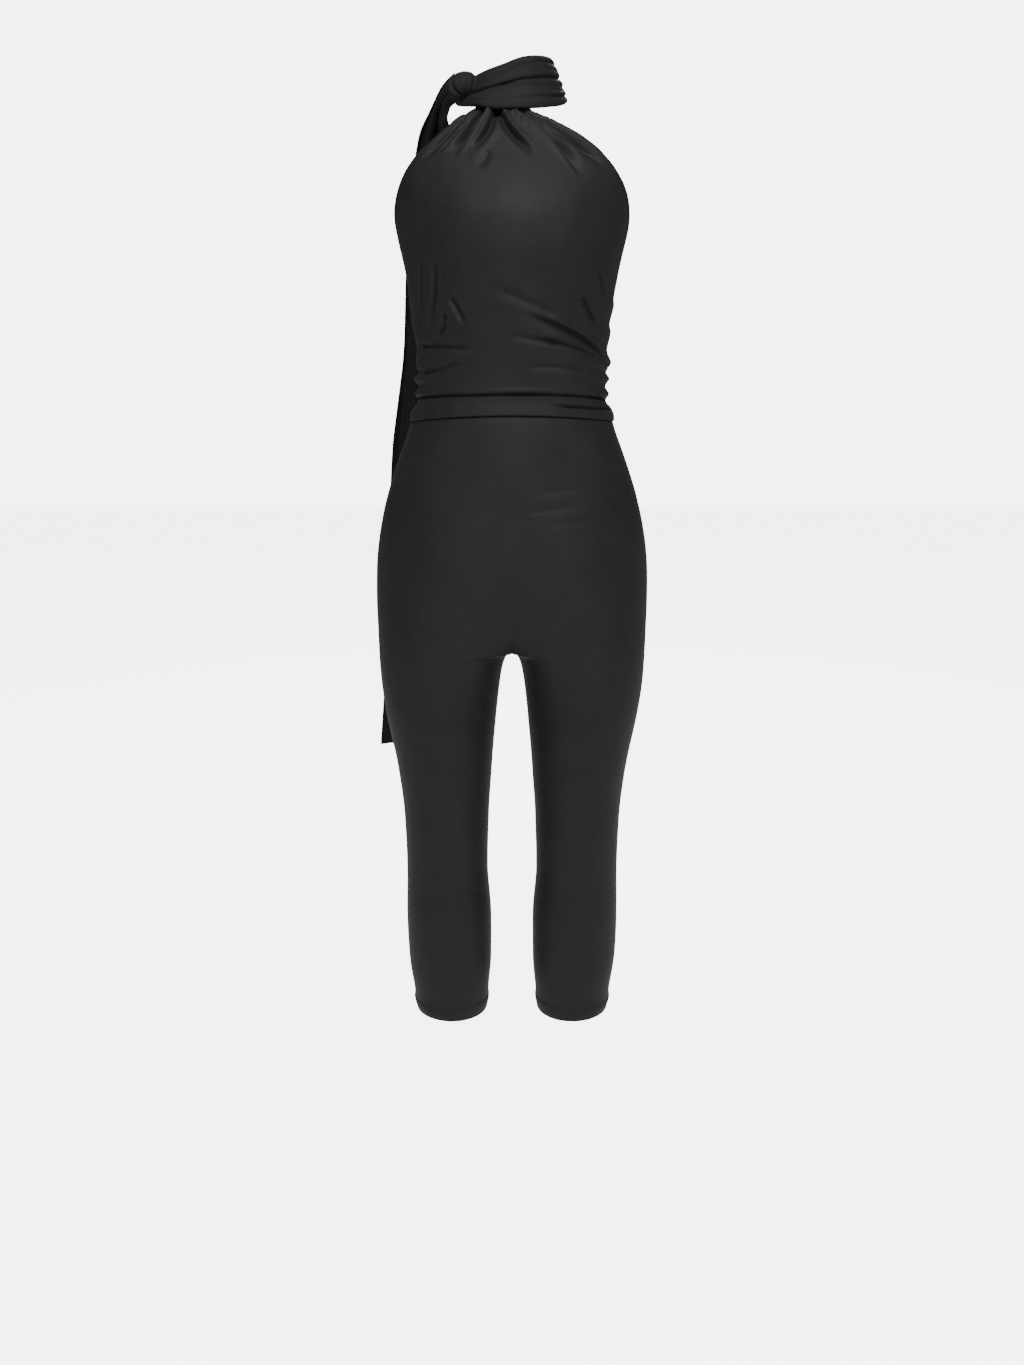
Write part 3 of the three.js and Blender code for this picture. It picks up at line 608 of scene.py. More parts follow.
def bodice_relief(height, angle, near):
    """How far the cloth stands out from the figure at each place, and the slits in it."""
    turn = np.abs(angle)
    share = smooth_step(*GATHERS_IN, turn) * (1 - smooth_step(*GATHERS_OUT, turn))
    gathers = smooth(SIDE_GATHERS, "height", height)
    half = smooth(BODY, "height", height)["half"]
    around = half * np.radians(angle)
    behind = half * np.radians(turn - 180) * np.sign(angle)
    front = 1 - smooth_step(*FRONT_FOLDS_OUT, turn)
    back = smooth_step(*BACK_FOLDS_IN, turn)
    from_seam = half * np.radians(np.abs(turn - SIDE_SEAM))
    low = smooth_step(*FINE_GATHER_TOP, height) * smooth_step(*FINE_GATHER_FOOT, height)
    wander = WANDER_UP * np.sin(height / WANDER_UP_LENGTH + np.sign(angle))
    wander += WANDER_ROUND * np.sin(around / WANDER_ROUND_LENGTH)
    fine = np.cos(2 * math.pi * (height + wander) / FINE_GATHER_PITCH)
    fine = FINE_GATHER_DEPTH * fine * np.exp(-((from_seam / FINE_GATHER_LENGTH) ** 2)) * low
    seam = -SEAM_DIP * np.exp(-((from_seam / SEAM_WIDTH) ** 2)) * (height < SIDE_SEAM_TOP)
    below = np.maximum(NECK_EDGE - height, 0)
    fan = around / (1 + below / NECK_GATHER_FAN) + NECK_DRIFT * np.sin(around / NECK_DRIFT_LENGTH)
    neck = NECK_GATHER_DEPTH * np.cos(2 * math.pi * fan / NECK_GATHER_PITCH)
    neck *= np.exp(-((below / NECK_GATHER_LENGTH) ** 2)) * (turn < NECK_GATHER_TURN)
    relief = share * np.where(angle < 0, gathers["right"], gathers["left"])
    relief += fine + neck + seam + UNEVEN * ripple(around, height)
    slits = np.zeros_like(relief)
    inside = EDGE_FLAT + (1 - EDGE_FLAT) * smooth_step(*EDGE_FADE, near)
    for folds, where, across in (
        (NECK_PLEATS, front * inside, around),
        (WAIST_FOLDS, front, around),
        (BACK_FOLDS, back, behind),
    ):
        troughs, narrow = fold_relief(folds, across, height, bodice_place)
        relief += where * troughs
        slits += where * narrow
    return relief, slits


def free_edge_distance(base, heights, sides):
    """How far each point of a panel lies from its free edges, where nothing is sewn on."""
    near = np.full(base.shape[:2], np.inf)
    free = heights > ARMHOLE_END - 1
    edges = {"top": base[0, 1:-1], "first": base[free, 1], "last": base[free, -2]}
    for side in sides:
        for point in edges[side]:
            near = np.minimum(near, np.linalg.norm(base - point, axis=-1))
    return near


def pulled_in(grid):
    """The grid with its two side edges drawn in by half a seam gap."""
    grid = grid.copy()
    for edge, beside in ((0, 1), (-1, -2)):
        grid[:, edge] += unit(grid[:, beside] - grid[:, edge]) * SEAM_GAP / 2
    return grid


def bodice_panel(name, heights, columns, edges, dip, hem_sides, bulge, seams=False):
    """A bodice panel. It is worked out one column past each edge, as the solid is."""
    first, last = edges(heights)
    step = np.arange(-1, columns + 1) / (columns - 1)
    angle = first[:, None] + (last - first)[:, None] * step[None, :]
    level = np.repeat(heights[:, None], columns + 2, axis=1)
    rise = smooth_step(-BLOUSE_START, -BODICE_EDGE, -level)
    level = level + rise * np.cos(np.radians(angle)) ** 2 * BODICE_EDGE_RISE + dip(level, angle)
    base = body_point(level, angle)
    signed = np.where(angle > 180, angle - 360, angle)
    near = free_edge_distance(base, heights, hem_sides)
    relief, slits = bodice_relief(level, signed, near)
    relief += EDGE_HEM_RISE * (1 - smooth_step(*EDGE_HEM_STEP, near))
    relief -= EDGE_STITCH_DIP * np.exp(-(((near - EDGE_STITCH) / EDGE_STITCH_WIDTH) ** 2))
    normals = grid_normals(base)
    outer = base + normals * relief[..., None]
    inner = outer - grid_normals(outer) * JERSEY
    outer = outer + normals * slits[..., None]
    half = smooth(BODY, "height", level)["half"]
    uv = np.stack([half * np.radians(angle), level], -1)
    outer, inner, uv = (part[:, 1:-1] for part in (outer, inner, uv))
    outer, inner = pulled_in(outer), pulled_in(inner)
    return shell(name, outer, inner, uv, bulge=bulge, seams=seams), outer, near[:, 1:-1]


def spread(start, *stops):
    """Heights from the start on to each stop in its own number of steps."""
    runs = []
    for stop, steps in stops:
        runs.append(np.linspace(start, stop, steps, endpoint=False))
        start = stop
    return np.concatenate([*runs, [start]])


FRONT_HEIGHTS = spread(-12, (-110, 64), (-205, 26), (-330, 74), (BODICE_EDGE, 42))
BACK_HEIGHTS = spread(ARMHOLE_END, (BODICE_EDGE, 104))


def front_edges(heights):
    edges = smooth(ARMHOLE, "height", heights)
    return -edges["right"], edges["left"]


def back_edges(heights):
    return np.full(len(heights), float(SIDE_SEAM)), np.full(len(heights), 360.0 - SIDE_SEAM)


def back_dip(level, angle):
    middle = np.cos(np.radians((angle - 180) / (180 - SIDE_SEAM) * 90)) ** 2
    return -BACK_DIP * middle * smooth_step(BLOUSE_START, ARMHOLE_END, level)


# How far the rims stand out, as shares of the wall: top, bottom, first side and last side
FRONT_RIMS = (0.5, 0.5, 0.3, 0.3)
BACK_RIMS = (0.5, 0.5, 0.02, 0.02)
TROUSER_RIMS = (0.3, 0.5, 0.02, 0.02)

bodice_front, front_grid, front_near = bodice_panel(
    "bodice_front_cloth",
    FRONT_HEIGHTS,
    FRONT_COLUMNS,
    front_edges,
    lambda level, angle: 0,
    ("first", "last"),
    FRONT_RIMS,
)
back_waist, back_grid, _ = bodice_panel(
    "back_waist_cloth",
    BACK_HEIGHTS,
    BACK_COLUMNS,
    back_edges,
    back_dip,
    ("top",),
    BACK_RIMS,
    True,
)


# The trousers

LEG_HEIGHTS = spread(
    -338,
    (-372, 14),
    (-430, 18),
    (-500, 40),
    (-600, 24),
    (-640, 22),
    (CROTCH, 18),
    (-660, 20),
    (-700, 18),
    (-890, 36),
    (-1000, 44),
    (-1118, 26),
    (-1130, 14),
    (HEM_EDGE, 12),
)

# Seam allowances: how high they raise the cloth, and how far from the seam that ends
ALLOWANCE_STEP = 0.22
INSEAM_ALLOWANCE = (6.5, 7.9)
INSEAM_IN = 30
SIDE_ALLOWANCE = (4.5, 5.6)
HEM_STEP = 0.5
HEM_RISE = (-HEM_FOLD - 0.6, -HEM_FOLD + 0.8)
HEM_ROWS = (HEM_FOLD - 2.2, HEM_FOLD - 5.4)
HEM_STITCH_DIP = 0.22
HEM_STITCH_WIDTH = 0.7
TIGHT = 0.6
FACING = (0.1, 0.5)


def half_section(cut, reach):
    """Half a level section of the wearer's left side, from the middle or inseam to the side."""
    middle = (cut["front"] + cut["back"]) / 2
    turn = math.pi * (1 - np.arange(SECTION_STEPS + 1) / SECTION_STEPS)
    level = np.cos(turn)
    inner = level < 0
    wide = np.where(inner, cut["centre"] - cut["gap"], cut["outer"] - cut["centre"])
    parting = np.where(inner, cut["parting"], 1)
    power = np.where(inner, cut["power"], 2)
    x = np.maximum(cut["centre"] + wide * level, 0)
    y = middle + reach * np.sqrt(np.maximum(1 - parting * np.abs(level) ** power, 0))
    run = np.stack([x, y], -1)
    lengths = np.r_[0, np.cumsum(np.linalg.norm(np.diff(run, axis=0), axis=1))]
    wanted = np.linspace(0, lengths[-1], LEG_COLUMNS + 1)
    return np.stack([np.interp(wanted, lengths, x), np.interp(wanted, lengths, y)], -1)


def leg_surface():
    cuts = smooth(TROUSERS, "height", LEG_HEIGHTS)
    lines = []
    for row, height in enumerate(LEG_HEIGHTS):
        cut = {name: column[row] for name, column in cuts.items()}
        depth = (cut["back"] - cut["front"]) / 2
        front = half_section(cut, -depth)
        back = half_section(cut, depth)[::-1]
        line = np.concatenate([front, back[1:]])
        rise = HEM_SIDE_RISE * smooth_step(-HEM_FOLD + 1, -HEM_EDGE, -height)
        lift = rise * (line[:, 0] - cut["centre"]) / (cut["outer"] - cut["centre"])
        lines.append(np.column_stack([line, height + lift]))
    return np.array(lines)


def with_neighbours(grid, apart):
    """The grid with one more column at each side: across the middle plane above the crotch,
    and round the inseam below it."""
    mirror = np.array([-1, 1, 1])
    before = np.where(apart, grid[:, -2], grid[:, 1] * mirror)
    after = np.where(apart, grid[:, 1], grid[:, -2] * mirror)
    return np.concatenate([before[:, None], grid, after[:, None]], axis=1)


def run_along(grid):
    """How far along its row each point of a grid lies."""
    steps = np.linalg.norm(np.diff(grid, axis=1), axis=-1)
    return np.concatenate([np.zeros((len(grid), 1)), np.cumsum(steps, 1)], 1)


def trouser_relief(grid, normals):
    """How far the cloth stands out from the trousers' level sections at each place."""
    x, z = grid[..., 0], grid[..., 2]
    facing = -normals[..., 1]
    relief = smooth_step(*FACING, facing) * fold_relief(TROUSER_CREASES, x, z)[0]
    relief += smooth_step(*FACING, -facing) * fold_relief(TROUSER_BACK_CREASES, x, z)[0]
    run = run_along(grid)
    from_side = run - run[:, LEG_COLUMNS : LEG_COLUMNS + 1]
    dip = np.where(z < CROTCH, SEAM_DIP, CENTRE_SEAM_DIP)
    for seam, depth in ((run, dip), (from_side, SEAM_DIP), (run[:, -1:] - run, dip)):
        relief -= depth * np.exp(-((seam / SEAM_WIDTH) ** 2))
    below = smooth_step(-CROTCH, -CROTCH + INSEAM_IN, -z)
    relief += below * ALLOWANCE_STEP * (1 - smooth_step(*INSEAM_ALLOWANCE, run))
    side = 1 - smooth_step(*SIDE_ALLOWANCE, np.abs(from_side))
    relief += ALLOWANCE_STEP * side * (from_side > 0)
    relief += HEM_STEP * smooth_step(*HEM_RISE, -z)
    for row in HEM_ROWS:
        relief -= HEM_STITCH_DIP * np.exp(-(((z - row) / HEM_STITCH_WIDTH) ** 2))
    return relief + UNEVEN * TIGHT * ripple(x, z)


def trouser_side(left):
    turn = 1 if left else -1
    surface = leg_surface() * np.array([turn, 1, 1])
    apart = (LEG_HEIGHTS < CROTCH)[:, None]
    normals = turn * grid_normals(with_neighbours(surface, apart))[:, 1:-1]
    relief = trouser_relief(surface, normals)
    outer = surface + normals * relief[..., None]
    again = turn * grid_normals(with_neighbours(outer, apart))[:, 1:-1]
    wall = np.where(LEG_HEIGHTS < HEM_FOLD, HEM_WALL, JERSEY)
    inner = outer - again * wall[:, None, None]
    run = run_along(surface)
    uv = np.stack([run - run[:, LEG_COLUMNS : LEG_COLUMNS + 1], surface[..., 2]], -1)
    side = "left" if left else "right"
    made = {}
    for part, columns in (("front", slice(0, LEG_COLUMNS + 1)), ("back", slice(LEG_COLUMNS, None))):
        grids = [outer[:, columns], inner[:, columns], uv[:, columns]]
        if not left:
            grids = [grid[:, ::-1] for grid in grids]
        grids[0], grids[1] = pulled_in(grids[0]), pulled_in(grids[1])
        name = f"trouser_{part}_{side}"
        piece = shell(f"{name}_cloth", *grids, bulge=TROUSER_RIMS, seams=True)
        made[name] = piece, grids[0]
    return made


trousers = {**trouser_side(True), **trouser_side(False)}


# The scarf, its knot and its hanging end


# How deep each of the scarf's four creases is at each angle
SCARF_TROUGHS = table(
    "angle first second third fourth",
    (-60, 0.8, 1.4, 3.2, 1.6),
    (-35, 0.6, 0.8, 3.4, 1.3),
    (10, 1.0, 0.2, 3.5, 1.5),
    (40, 1.4, 0.6, 3.3, 1.6),
    (80, 1.8, 1.6, 2.6, 1.7),
    (120, 2.4, 2.4, 2.8, 2.2),
    (180, 2.6, 2.8, 2.8, 2.6),
    (270, 2.0, 2.2, 2.8, 2.2),
    (300, 0.8, 1.4, 3.2, 1.6),
)
TROUGH_WIDTH = 1.5
TROUGH_POWER = 1.4
TROUGH_SHOULDER = 0.22
SHOULDER_PLACE = 4.6
SHOULDER_WIDTH = 2.4
ROLL_POWER = 7


def scarf_reach(angle, up):
    """Distance from the axis, relief and height of the wound scarf's outside."""
    cut = smooth(SCARF, "angle", angle)
    depths = smooth(SCARF_TROUGHS, "angle", angle)
    reach = cut["low_reach"] + (cut["top_reach"] - cut["low_reach"]) * up
    tall = cut["top_height"] - cut["low_height"]
    height = cut["low_height"] + tall * up
    roll = SCARF_ROLL * (1 - np.abs(2 * up - 1) ** ROLL_POWER)
    for name in ("first", "second", "third", "fourth"):
        away = np.abs(up - cut[name]) * tall
        roll -= depths[name] * np.exp(-((away / TROUGH_WIDTH) ** TROUGH_POWER))
        shoulder = np.exp(-(((away - SHOULDER_PLACE) / SHOULDER_WIDTH) ** 2))
        roll += depths[name] * TROUGH_SHOULDER * shoulder
    return reach, roll, height


# Lesser creases of the scarf, as places round the neck and heights in millimetres
SCARF_CREASES = table(
    FOLD_NAMES,
    (14, -18, 44, -15, 72, -9, 0.6, 1.6, 0, 0),
    (-16, -7, 18, -2, 56, 5, 1.3, 1.3, 0, 0),
    (30, 22, 60, 26, 96, 28, 0.6, 1.5, 0, 0),
    (40, -8, 70, -3, 104, 6, 0.9, 1.8, 0, 0),
    (110, 8, 150, 14, 200, 12, 0.9, 1.8, 0, 0),
    (120, 24, 160, 27, 210, 20, 0.7, 1.6, 0, 0),
    (190, 18, 230, 10, 262, 2, 0.8, 1.8, 0, 0),
    (200, 2, 240, -4, 270, -12, 0.7, 1.8, 0, 0),
)
SCARF_MEAN = 60
SCARF_EDGE = (0, 0.08)


def neck_scarf():
    angle = SCARF["angle"][0] + 360 * np.arange(SCARF_COLUMNS) / SCARF_COLUMNS
    up = np.linspace(1, 0, SCARF_RINGS)
    angle, up = np.meshgrid(angle, up)
    reach, roll, height = scarf_reach(angle, up)
    around = SCARF_MEAN * np.radians(angle)
    edge = smooth_step(*SCARF_EDGE, up) * smooth_step(*SCARF_EDGE, 1 - up)
    roll = roll + edge * sum(fold_relief(SCARF_CREASES, around, height))
    turn = np.radians(angle)

    def ring(distance):
        return np.stack([distance * np.sin(turn), -distance * np.cos(turn), height], -1)

    uv = np.stack([around, height], -1)
    return shell("neck_scarf_cloth", ring(reach + roll), ring(reach - SCARF_WALL), uv, closed=True)


scarf = neck_scarf()

# Pleats of the knot run out of the place where it is pulled tight, low at the front:
# direction round that place (0 to the right arm, 90 up), depth and width
KNOT_GATHER = (0.24, -0.46, -0.86)
KNOT_PLEATS = table(
    "turn depth width",
    (22, 3.6, 8),
    (60, 0.6, 7),
    (104, 0.5, 9),
    (132, 1.9, 7),
    (160, 2.2, 8),
    (205, 1.6, 12),
    (250, 2.0, 12),
    (300, 1.6, 12),
    (340, 2.2, 12),
)
KNOT_POLE = 0.02
KNOT_TWIST = 16
KNOT_TWIST_RATE = 1.5
PLEAT_POWER = 1.3
PLEATS_FADE = (0.45 * math.pi, 0.95 * math.pi)
KNOT_PUFF = 0.9
KNOT_PINCH = 0.12
KNOT_PINCH_SPREAD = 0.42
KNOT_CLEAR = 0.25
KNOT_CLEAR_LOW = (-0.25, 0.05)
KNOT_CLEAR_HIGH = (0.95, 1.25)


def neck_knot():
    gather = unit(np.array(KNOT_GATHER))
    aside = unit(np.cross(gather, (0, 0, 1)))
    upward = np.cross(aside, gather)
    polar = np.linspace(KNOT_POLE, math.pi - KNOT_POLE, KNOT_ROWS)
    turn = np.linspace(0, 2 * math.pi, KNOT_COLUMNS, endpoint=False)
    polar, turn = np.meshgrid(polar, turn, indexing="ij")
    around = np.cos(turn)[..., None] * aside + np.sin(turn)[..., None] * upward
    way = np.cos(polar)[..., None] * gather + np.sin(polar)[..., None] * around
    lean = math.radians(KNOT["lean"])
    across = way[..., 0] * math.cos(lean) - way[..., 2] * math.sin(lean)
    tall = way[..., 0] * math.sin(lean) + way[..., 2] * math.cos(lean)
    deep = way[..., 1]
    lengths = {"across": across, "deep": deep, "tall": tall}
    radius = 1 / np.sqrt(sum((length / KNOT[name]) ** 2 for name, length in lengths.items()))
    pleated = np.zeros_like(radius)
    twist = np.degrees(turn) + KNOT_TWIST * np.sin(polar * KNOT_TWIST_RATE)
    for place, depth, width in zip(*KNOT_PLEATS.values()):
        off = (twist - place + 180) % 360 - 180
        pleated += depth * np.exp(-((np.abs(off) / width) ** PLEAT_POWER))
    fade = 1 - smooth_step(*PLEATS_FADE, polar)
    radius = radius + (KNOT_PUFF - pleated) * fade * np.sin(polar) ** 0.5
    radius = radius * (1 - KNOT_PINCH * np.exp(-((polar / KNOT_PINCH_SPREAD) ** 2)))
    points = way * radius[..., None] + np.array([KNOT["x"], KNOT["y"], KNOT["z"]])
    angle = np.degrees(np.arctan2(points[..., 0], -points[..., 1]))
    angle = np.where(angle < SCARF["angle"][0], angle + 360, angle)
    cut = smooth(SCARF, "angle", angle)
    up = (points[..., 2] - cut["low_height"]) / (cut["top_height"] - cut["low_height"])
    reach, roll, _ = scarf_reach(angle, np.clip(up, 0, 1))
    least = reach + roll + KNOT_CLEAR
    distance = np.linalg.norm(points[..., :2], axis=-1)
    near = smooth_step(*KNOT_CLEAR_LOW, up) * (1 - smooth_step(*KNOT_CLEAR_HIGH, up))
    push = np.where(distance < least, (least / distance - 1) * near + 1, 1)
    points[..., :2] *= push[..., None]
    uv = np.stack([turn * KNOT["across"], polar * KNOT["tall"]], -1)
    faces = grid_faces(KNOT_ROWS, KNOT_COLUMNS, True)[:, [0, 3, 2, 1]]
    return make_mesh("neck_knot_cloth", points.reshape(-1, 3), faces, uv.reshape(-1, 2))


knot = neck_knot()


# How the end's folds drift along it (amount, length, phase), its lesser folds, and its hem
TAIL_DRIFTS = ((0.012, 90, 0), (0.008, 37, 1))
TAIL_LESSER = 0.5
TAIL_LESSER_FOLDS = 6.3
TAIL_LESSER_LENGTH = 300
TAIL_RIPPLE_WIDTH = 90
TAIL_HEM_RISE = 0.35
TAIL_HEM_STEP = (0.03, 0.045)
TAIL_FULLNESS = 1.4


def neck_tail():
    share = np.linspace(0, 1, TAIL_ROWS)
    along = TAIL["along"][-1] * (TAIL_EVEN_SHARE * share + (1 - TAIL_EVEN_SHARE) * share**2)
    cut = smooth(TAIL, "along", along)
    across = np.linspace(0, 1, TAIL_COLUMNS)[None, :, None]
    inner_edge, outer_edge = (
        np.stack([cut[f"{edge}_{axis}"] for axis in "xyz"], -1)[:, None]
        for edge in ("inner", "outer")
    )
    base = inner_edge + (outer_edge - inner_edge) * across
    flat = np.repeat(across[..., 0], TAIL_ROWS, axis=0)
    down = along[:, None]
    drift = sum(much * np.sin(down / length + phase) for much, length, phase in TAIL_DRIFTS)
    wave = cut["wave"][:, None] * np.sin((flat + drift) * TAIL_FOLDS * 2 * math.pi)
    lesser = (flat * TAIL_LESSER_FOLDS + down / TAIL_LESSER_LENGTH) * 2 * math.pi
    wave += TAIL_LESSER * np.sin(lesser)
    wave += UNEVEN * ripple(flat * TAIL_RIPPLE_WIDTH, down)
    wave += TAIL_HEM_RISE * (1 - smooth_step(*TAIL_HEM_STEP, np.minimum(flat, 1 - flat)))
    outer = base + grid_normals(base) * wave[..., None]
    inner = outer - grid_normals(outer) * TAIL_WALL
    width = np.linalg.norm(outer_edge - inner_edge, axis=-1)
    uv = np.stack([flat * width * TAIL_FULLNESS, -np.repeat(down, TAIL_COLUMNS, axis=1)], -1)
    return shell("neck_tail_cloth", outer, inner, uv), outer


tail, tail_grid = neck_tail()


# Materials

JERSEY_BLACK = (0.0130, 0.0122, 0.0137, 1)
JERSEY_DEEP = (0.0090, 0.0084, 0.0096, 1)
SCARF_BLACK = (0.0105, 0.0105, 0.0108, 1)
SCARF_DEEP = (0.0070, 0.0070, 0.0074, 1)
THREAD_BLACK = (0.0100, 0.0096, 0.0106, 1)
SPECULAR = 0.16
SHEEN_ROUGH = 0.45

# Rows of loops: direction, distance apart in millimetres and unevenness
WALES = ("X", 0.62, 0.6)
COURSES = ("Y", 0.5, 0.8)
WALE_SHARE = 0.7
COURSE_SHARE = 0.3
WAVES_EACH = 20

# Noise across, up and deep in the cloth's own plane, and its detail
STREAKS = ((900, 45, 1), 3)
SLUBS = ((22, 16, 1), 4)
STREAK_SHARE = 0.5
TONES = (0.45, 1.0)
ROUGH_SPREAD = (-0.05, 0.06)

# Bumps: strength and height in metres
LOOP_BUMP = (0.35, 0.00012)
SLUB_BUMP = (0.25, 0.0012)


def add(tree, kind, *sources, **values):
    """A new node, with what is given by place or by name set, or linked if it is a socket."""
    node = tree.nodes.new(kind)
    inputs = dict(enumerate(sources))
    for name, value in values.items():
        if hasattr(node, name):
            setattr(node, name, value)
        else:
            inputs[name.replace("_", " ")] = value
    for name, value in inputs.items():
        if isinstance(value, bpy.types.NodeSocket):
            tree.links.new(value, node.inputs[name])
        else:
            node.inputs[name].default_value = value
    return node


def pattern(tree, kind, cloth, scale, **values):
    """A texture in the cloth's own plane."""
    place = add(tree, "ShaderNodeMapping", Vector=cloth, Scale=scale).outputs["Vector"]
    return add(tree, kind, Vector=place, Scale=1, **values).outputs["Fac"]


def loop_rows(tree, cloth, direction, pitch, uneven):
    scale = 2 * math.pi / (WAVES_EACH * pitch * MM)
    look = {"bands_direction": direction, "wave_profile": "SIN", "Distortion": uneven, "Detail": 1}
    return pattern(tree, "ShaderNodeTexWave", cloth, (scale, scale, 1), **look)


def weighed(tree, first, share, second):
    """The first value times its share, plus the second."""
    node = add(tree, "ShaderNodeMath", first, share, second, operation="MULTIPLY_ADD")
    return node.outputs["Value"]


def knit_material(name, light, deep, roughness, sheen):
    """Fine jersey: wales along the cloth, courses across, soft streaks and slubs."""
    material = bpy.data.materials.new(name)
    material.use_nodes = True
    tree = material.node_tree
    tree.nodes.clear()
    cloth = add(tree, "ShaderNodeUVMap", uv_map="cloth").outputs["UV"]
    courses = weighed(tree, loop_rows(tree, cloth, *COURSES), COURSE_SHARE, 0)
    loops = weighed(tree, loop_rows(tree, cloth, *WALES), WALE_SHARE, courses)
    streaks, slubs = (
        pattern(tree, "ShaderNodeTexNoise", cloth, scale, Detail=detail)
        for scale, detail in (STREAKS, SLUBS)
    )
    ramp = add(tree, "ShaderNodeValToRGB", weighed(tree, streaks, STREAK_SHARE, slubs))
    for stop, place, colour in zip(ramp.color_ramp.elements, TONES, (deep, light)):
        stop.position = place
        stop.color = colour
    least, most = (roughness + change for change in ROUGH_SPREAD)
    rough = add(tree, "ShaderNodeMapRange", Value=streaks, To_Min=least, To_Max=most)
    strength, distance = LOOP_BUMP
    bump = add(tree, "ShaderNodeBump", Height=loops, Strength=strength, Distance=distance)
    strength, distance = SLUB_BUMP
    bump = add(
        tree,
        "ShaderNodeBump",
        Height=slubs,
        Strength=strength,
        Distance=distance,
        Normal=bump.outputs["Normal"],
    )
    shader = add(
        tree,
        "ShaderNodeBsdfPrincipled",
        Base_Color=ramp.outputs["Color"],
        Roughness=rough.outputs["Result"],
        Normal=bump.outputs["Normal"],
        Specular_IOR_Level=SPECULAR,
        Sheen_Weight=sheen,
        Sheen_Roughness=SHEEN_ROUGH,
    )
    add(tree, "ShaderNodeOutputMaterial", Surface=shader.outputs["BSDF"])
    return material


JERSEY_ROUGH = 0.62
SCARF_ROUGH = 0.74
THREAD_ROUGH = 0.4
SHEEN = 0.01

jersey = knit_material("black_jersey", JERSEY_BLACK, JERSEY_DEEP, JERSEY_ROUGH, SHEEN)
scarf_jersey = knit_material("black_scarf_jersey", SCARF_BLACK, SCARF_DEEP, SCARF_ROUGH, SHEEN)
thread = knit_material("black_thread", THREAD_BLACK, JERSEY_DEEP, THREAD_ROUGH, 0.0)


# Stitching, as one small raised loop of thread a stitch

STITCH_LENGTH = 2.3
STITCH_PITCH = 3.0
STITCH_THICK = 0.42
STITCH_LIFT = 0.085
STITCH_SIDES = 6
STITCH_SIDE_UV = 0.2

# A stitch's rings: place along it and thickness, as shares
STITCH_RINGS = ((-0.5, 0.15), (-0.36, 0.85), (0, 1), (0.36, 0.85), (0.5, 0.15))


def run_of(line):
    return np.r_[0, np.cumsum(np.linalg.norm(np.diff(line, axis=0), axis=1))]


def at(place, far, values):
    """Three-part values at one place or more along a run."""
    return np.stack([np.interp(place, far, values[:, axis]) for axis in range(3)], -1)


def stitch_row(lines):
    """A row of stitches where each line, with its run and normals, is crossed: their middles,
    directions and normals."""
    line = np.array([at(place, far, points) for place, far, points, _ in lines])
    normals = np.array([at(place, far, outs) for place, far, _, outs in lines])
    far = run_of(line)
    count = max(int(far[-1] / STITCH_PITCH), 1)
    middle = (np.arange(count) + 0.5) * far[-1] / count
    start = at(middle - STITCH_LENGTH / 2, far, line)
    end = at(middle + STITCH_LENGTH / 2, far, line)
    return (start + end) / 2, unit(end - start), unit(at(middle, far, normals))


def stitches(rows):
    """One mesh of all stitches, each a low rounded lozenge of thread."""
    points, faces, uv = [], [], []
    count = 0
    for place, along, out in rows:
        across = unit(np.cross(along, out))
        out = np.cross(across, along)
        for centre, forward, side, up in zip(place, along, across, out):
            for shift, thick in STITCH_RINGS:
                for turn in range(STITCH_SIDES):
                    angle = 2 * math.pi * turn / STITCH_SIDES
                    radius = STITCH_THICK / 2 * thick
                    lift = radius * math.sin(angle) + STITCH_LIFT
                    aside = side * radius * math.cos(angle)
                    points.append(centre + forward * shift * STITCH_LENGTH + aside + up * lift)
                    uv.append((turn * STITCH_SIDE_UV, shift * STITCH_LENGTH))
            for ring in range(len(STITCH_RINGS) - 1):
                for turn in range(STITCH_SIDES):
                    a = count + ring * STITCH_SIDES + turn
                    b = count + ring * STITCH_SIDES + (turn + 1) % STITCH_SIDES
                    faces.append((a, b, b + STITCH_SIDES, a + STITCH_SIDES))
            count += len(STITCH_RINGS) * STITCH_SIDES
    return make_mesh("stitching", np.array(points), np.array(faces), np.array(uv))


def level_row(grid, height):
    """A row in which a panel's outside crosses a height."""
    normals = grid_normals(grid)
    columns = range(grid.shape[1])
    return stitch_row([(-height, -grid[:, c, 2], grid[:, c], normals[:, c]) for c in columns])


def beside_edge(grid, side, distance):
    """A row at a distance inside one edge of a panel's outside."""
    lines, outs = grid, grid_normals(grid)
    if side in ("top", "bottom"):
        lines, outs = lines.transpose(1, 0, 2), outs.transpose(1, 0, 2)
    if side in ("last", "bottom"):
        lines, outs = lines[:, ::-1], outs[:, ::-1]
    return stitch_row([(distance, run_of(line), line, out) for line, out in zip(lines, outs)])


TAIL_STITCH = 3.2
TAIL_STITCH_START = 12

rows = [level_row(grid, height) for _, grid in trousers.values() for height in HEM_ROWS]
armhole = FRONT_HEIGHTS > ARMHOLE_END + EDGE_HEM
half_way = FRONT_COLUMNS // 2
front_parts = (front_near, front_grid, grid_normals(front_grid))
for columns in (slice(0, half_way), slice(None, half_way, -1)):
    lines = zip(*(part[armhole, columns] for part in front_parts))
    rows.append(
        stitch_row([(EDGE_STITCH, np.maximum.accumulate(near), *line) for near, *line in lines])
    )
rows.append(beside_edge(back_grid, "top", EDGE_STITCH))
for side in ("first", "last", "bottom"):
    rows.append(beside_edge(tail_grid[TAIL_STITCH_START:], side, TAIL_STITCH))
stitching = stitches(rows)


# Which piece stands for which solid, what it is cut from, and its finish

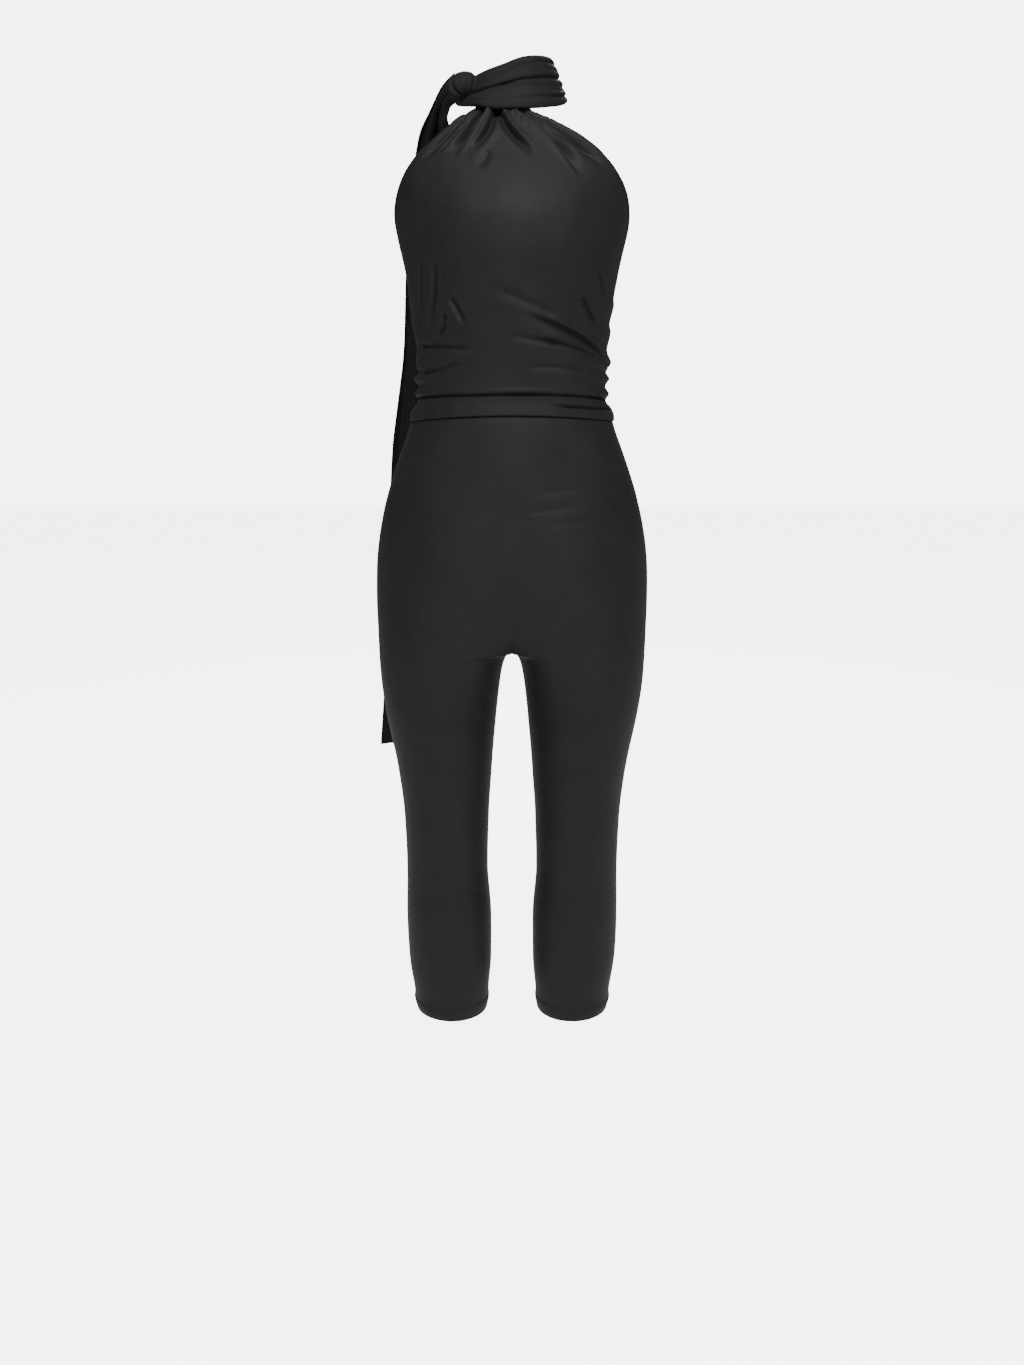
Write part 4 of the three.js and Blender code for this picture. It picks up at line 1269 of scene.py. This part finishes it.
FINISHES = {"jersey": jersey, "scarf_jersey": scarf_jersey}
PIECES = {
    "bodice_front": bodice_front,
    "back_waist": back_waist,
    **{name: piece for name, (piece, _) in trousers.items()},
    "neck_scarf": scarf,
    "neck_knot": knot,
    "neck_tail": tail,
}
for node, piece in PIECES.items():
    slot = "scarf_jersey" if node.startswith("neck") else "jersey"
    piece.data.materials.append(FINISHES[slot])
    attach(piece, "root")
    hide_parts(node)
stitching.data.materials.append(thread)
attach(stitching, "root")


# Floor, light and camera

FLOOR_SIZE = 14
FLOOR_GREY = 0.9
FLOOR_ROUGH = 0.9
FLOOR_SHOWN = 4.9
WORLD_LIGHT = 0.13
WORLD_SHOWN = 6
SENSOR_WIDTH = 36

# Lights: name, place, where it is aimed, size and power
LIGHTS = (
    ("front_light", (0.3, -3.0, 2.4), (0, 0, -0.5), (2.2, 2.4), 275),
    ("left_fill", (-2.4, -1.8, 0.4), (0, 0, -0.5), (1.4, 2), 5),
    ("right_fill", (2.4, -1.8, 0.4), (0, 0, -0.5), (1.4, 2), 3),
    ("back_fill", (0.2, 3.1, 2.3), (0, 0, -0.6), (1.8, 1.8), 170),
)


def pale_floor():
    mesh = bpy.data.meshes.new("floor")
    ends = ((-1, -1), (1, -1), (1, 1), (-1, 1))
    corners = [(FLOOR_SIZE * x, FLOOR_SIZE * y, 0) for x, y in ends]
    mesh.from_pydata(corners, [], [(0, 1, 2, 3)])
    floor = bpy.data.objects.new("floor", mesh)
    bpy.context.collection.objects.link(floor)
    floor.location.z = FLOOR * MM
    material = bpy.data.materials.new("pale_floor")
    material.use_nodes = True
    tree = material.node_tree
    shader = tree.nodes["Principled BSDF"]
    shader.inputs["Base Color"].default_value = (FLOOR_GREY, FLOOR_GREY, FLOOR_GREY, 1)
    shader.inputs["Roughness"].default_value = FLOOR_ROUGH
    shader.inputs["Emission Color"].default_value = (1, 1, 1, 1)
    seen = add(tree, "ShaderNodeLightPath").outputs["Is Camera Ray"]
    shown = add(tree, "ShaderNodeMath", seen, FLOOR_SHOWN, operation="MULTIPLY").outputs["Value"]
    tree.links.new(shown, shader.inputs["Emission Strength"])
    mesh.materials.append(material)


def softbox(name, place, aim, size, power):
    light = bpy.data.lights.new(name, "AREA")
    light.shape = "RECTANGLE"
    light.size, light.size_y = size
    light.energy = power
    lamp = bpy.data.objects.new(name, light)
    lamp.location = place
    lamp.rotation_euler = (Vector(aim) - Vector(place)).to_track_quat("-Z", "Y").to_euler()
    bpy.context.collection.objects.link(lamp)


pale_floor()
for light in LIGHTS:
    softbox(*light)

world = bpy.data.worlds.new("studio")
world.use_nodes = True
tree = world.node_tree
tree.nodes.clear()
soft, pale = (
    add(tree, "ShaderNodeBackground", Color=(1, 1, 1, 1), Strength=strength).outputs["Background"]
    for strength in (WORLD_LIGHT, WORLD_SHOWN)
)
seen = add(tree, "ShaderNodeLightPath").outputs["Is Camera Ray"]
both = add(tree, "ShaderNodeMixShader", seen, soft, pale)
add(tree, "ShaderNodeOutputWorld", Surface=both.outputs["Shader"])
bpy.context.scene.world = world

camera_data = bpy.data.cameras.new("camera")
camera_data.lens = CAMERA_LENS
camera_data.sensor_width = SENSOR_WIDTH
camera = bpy.data.objects.new("camera", camera_data)
camera.location = CAMERA_PLACE
camera.rotation_euler = (math.radians(90 - CAMERA_DIP), 0, 0)
bpy.context.collection.objects.link(camera)
bpy.context.scene.camera = camera

bpy.context.view_layer.update()
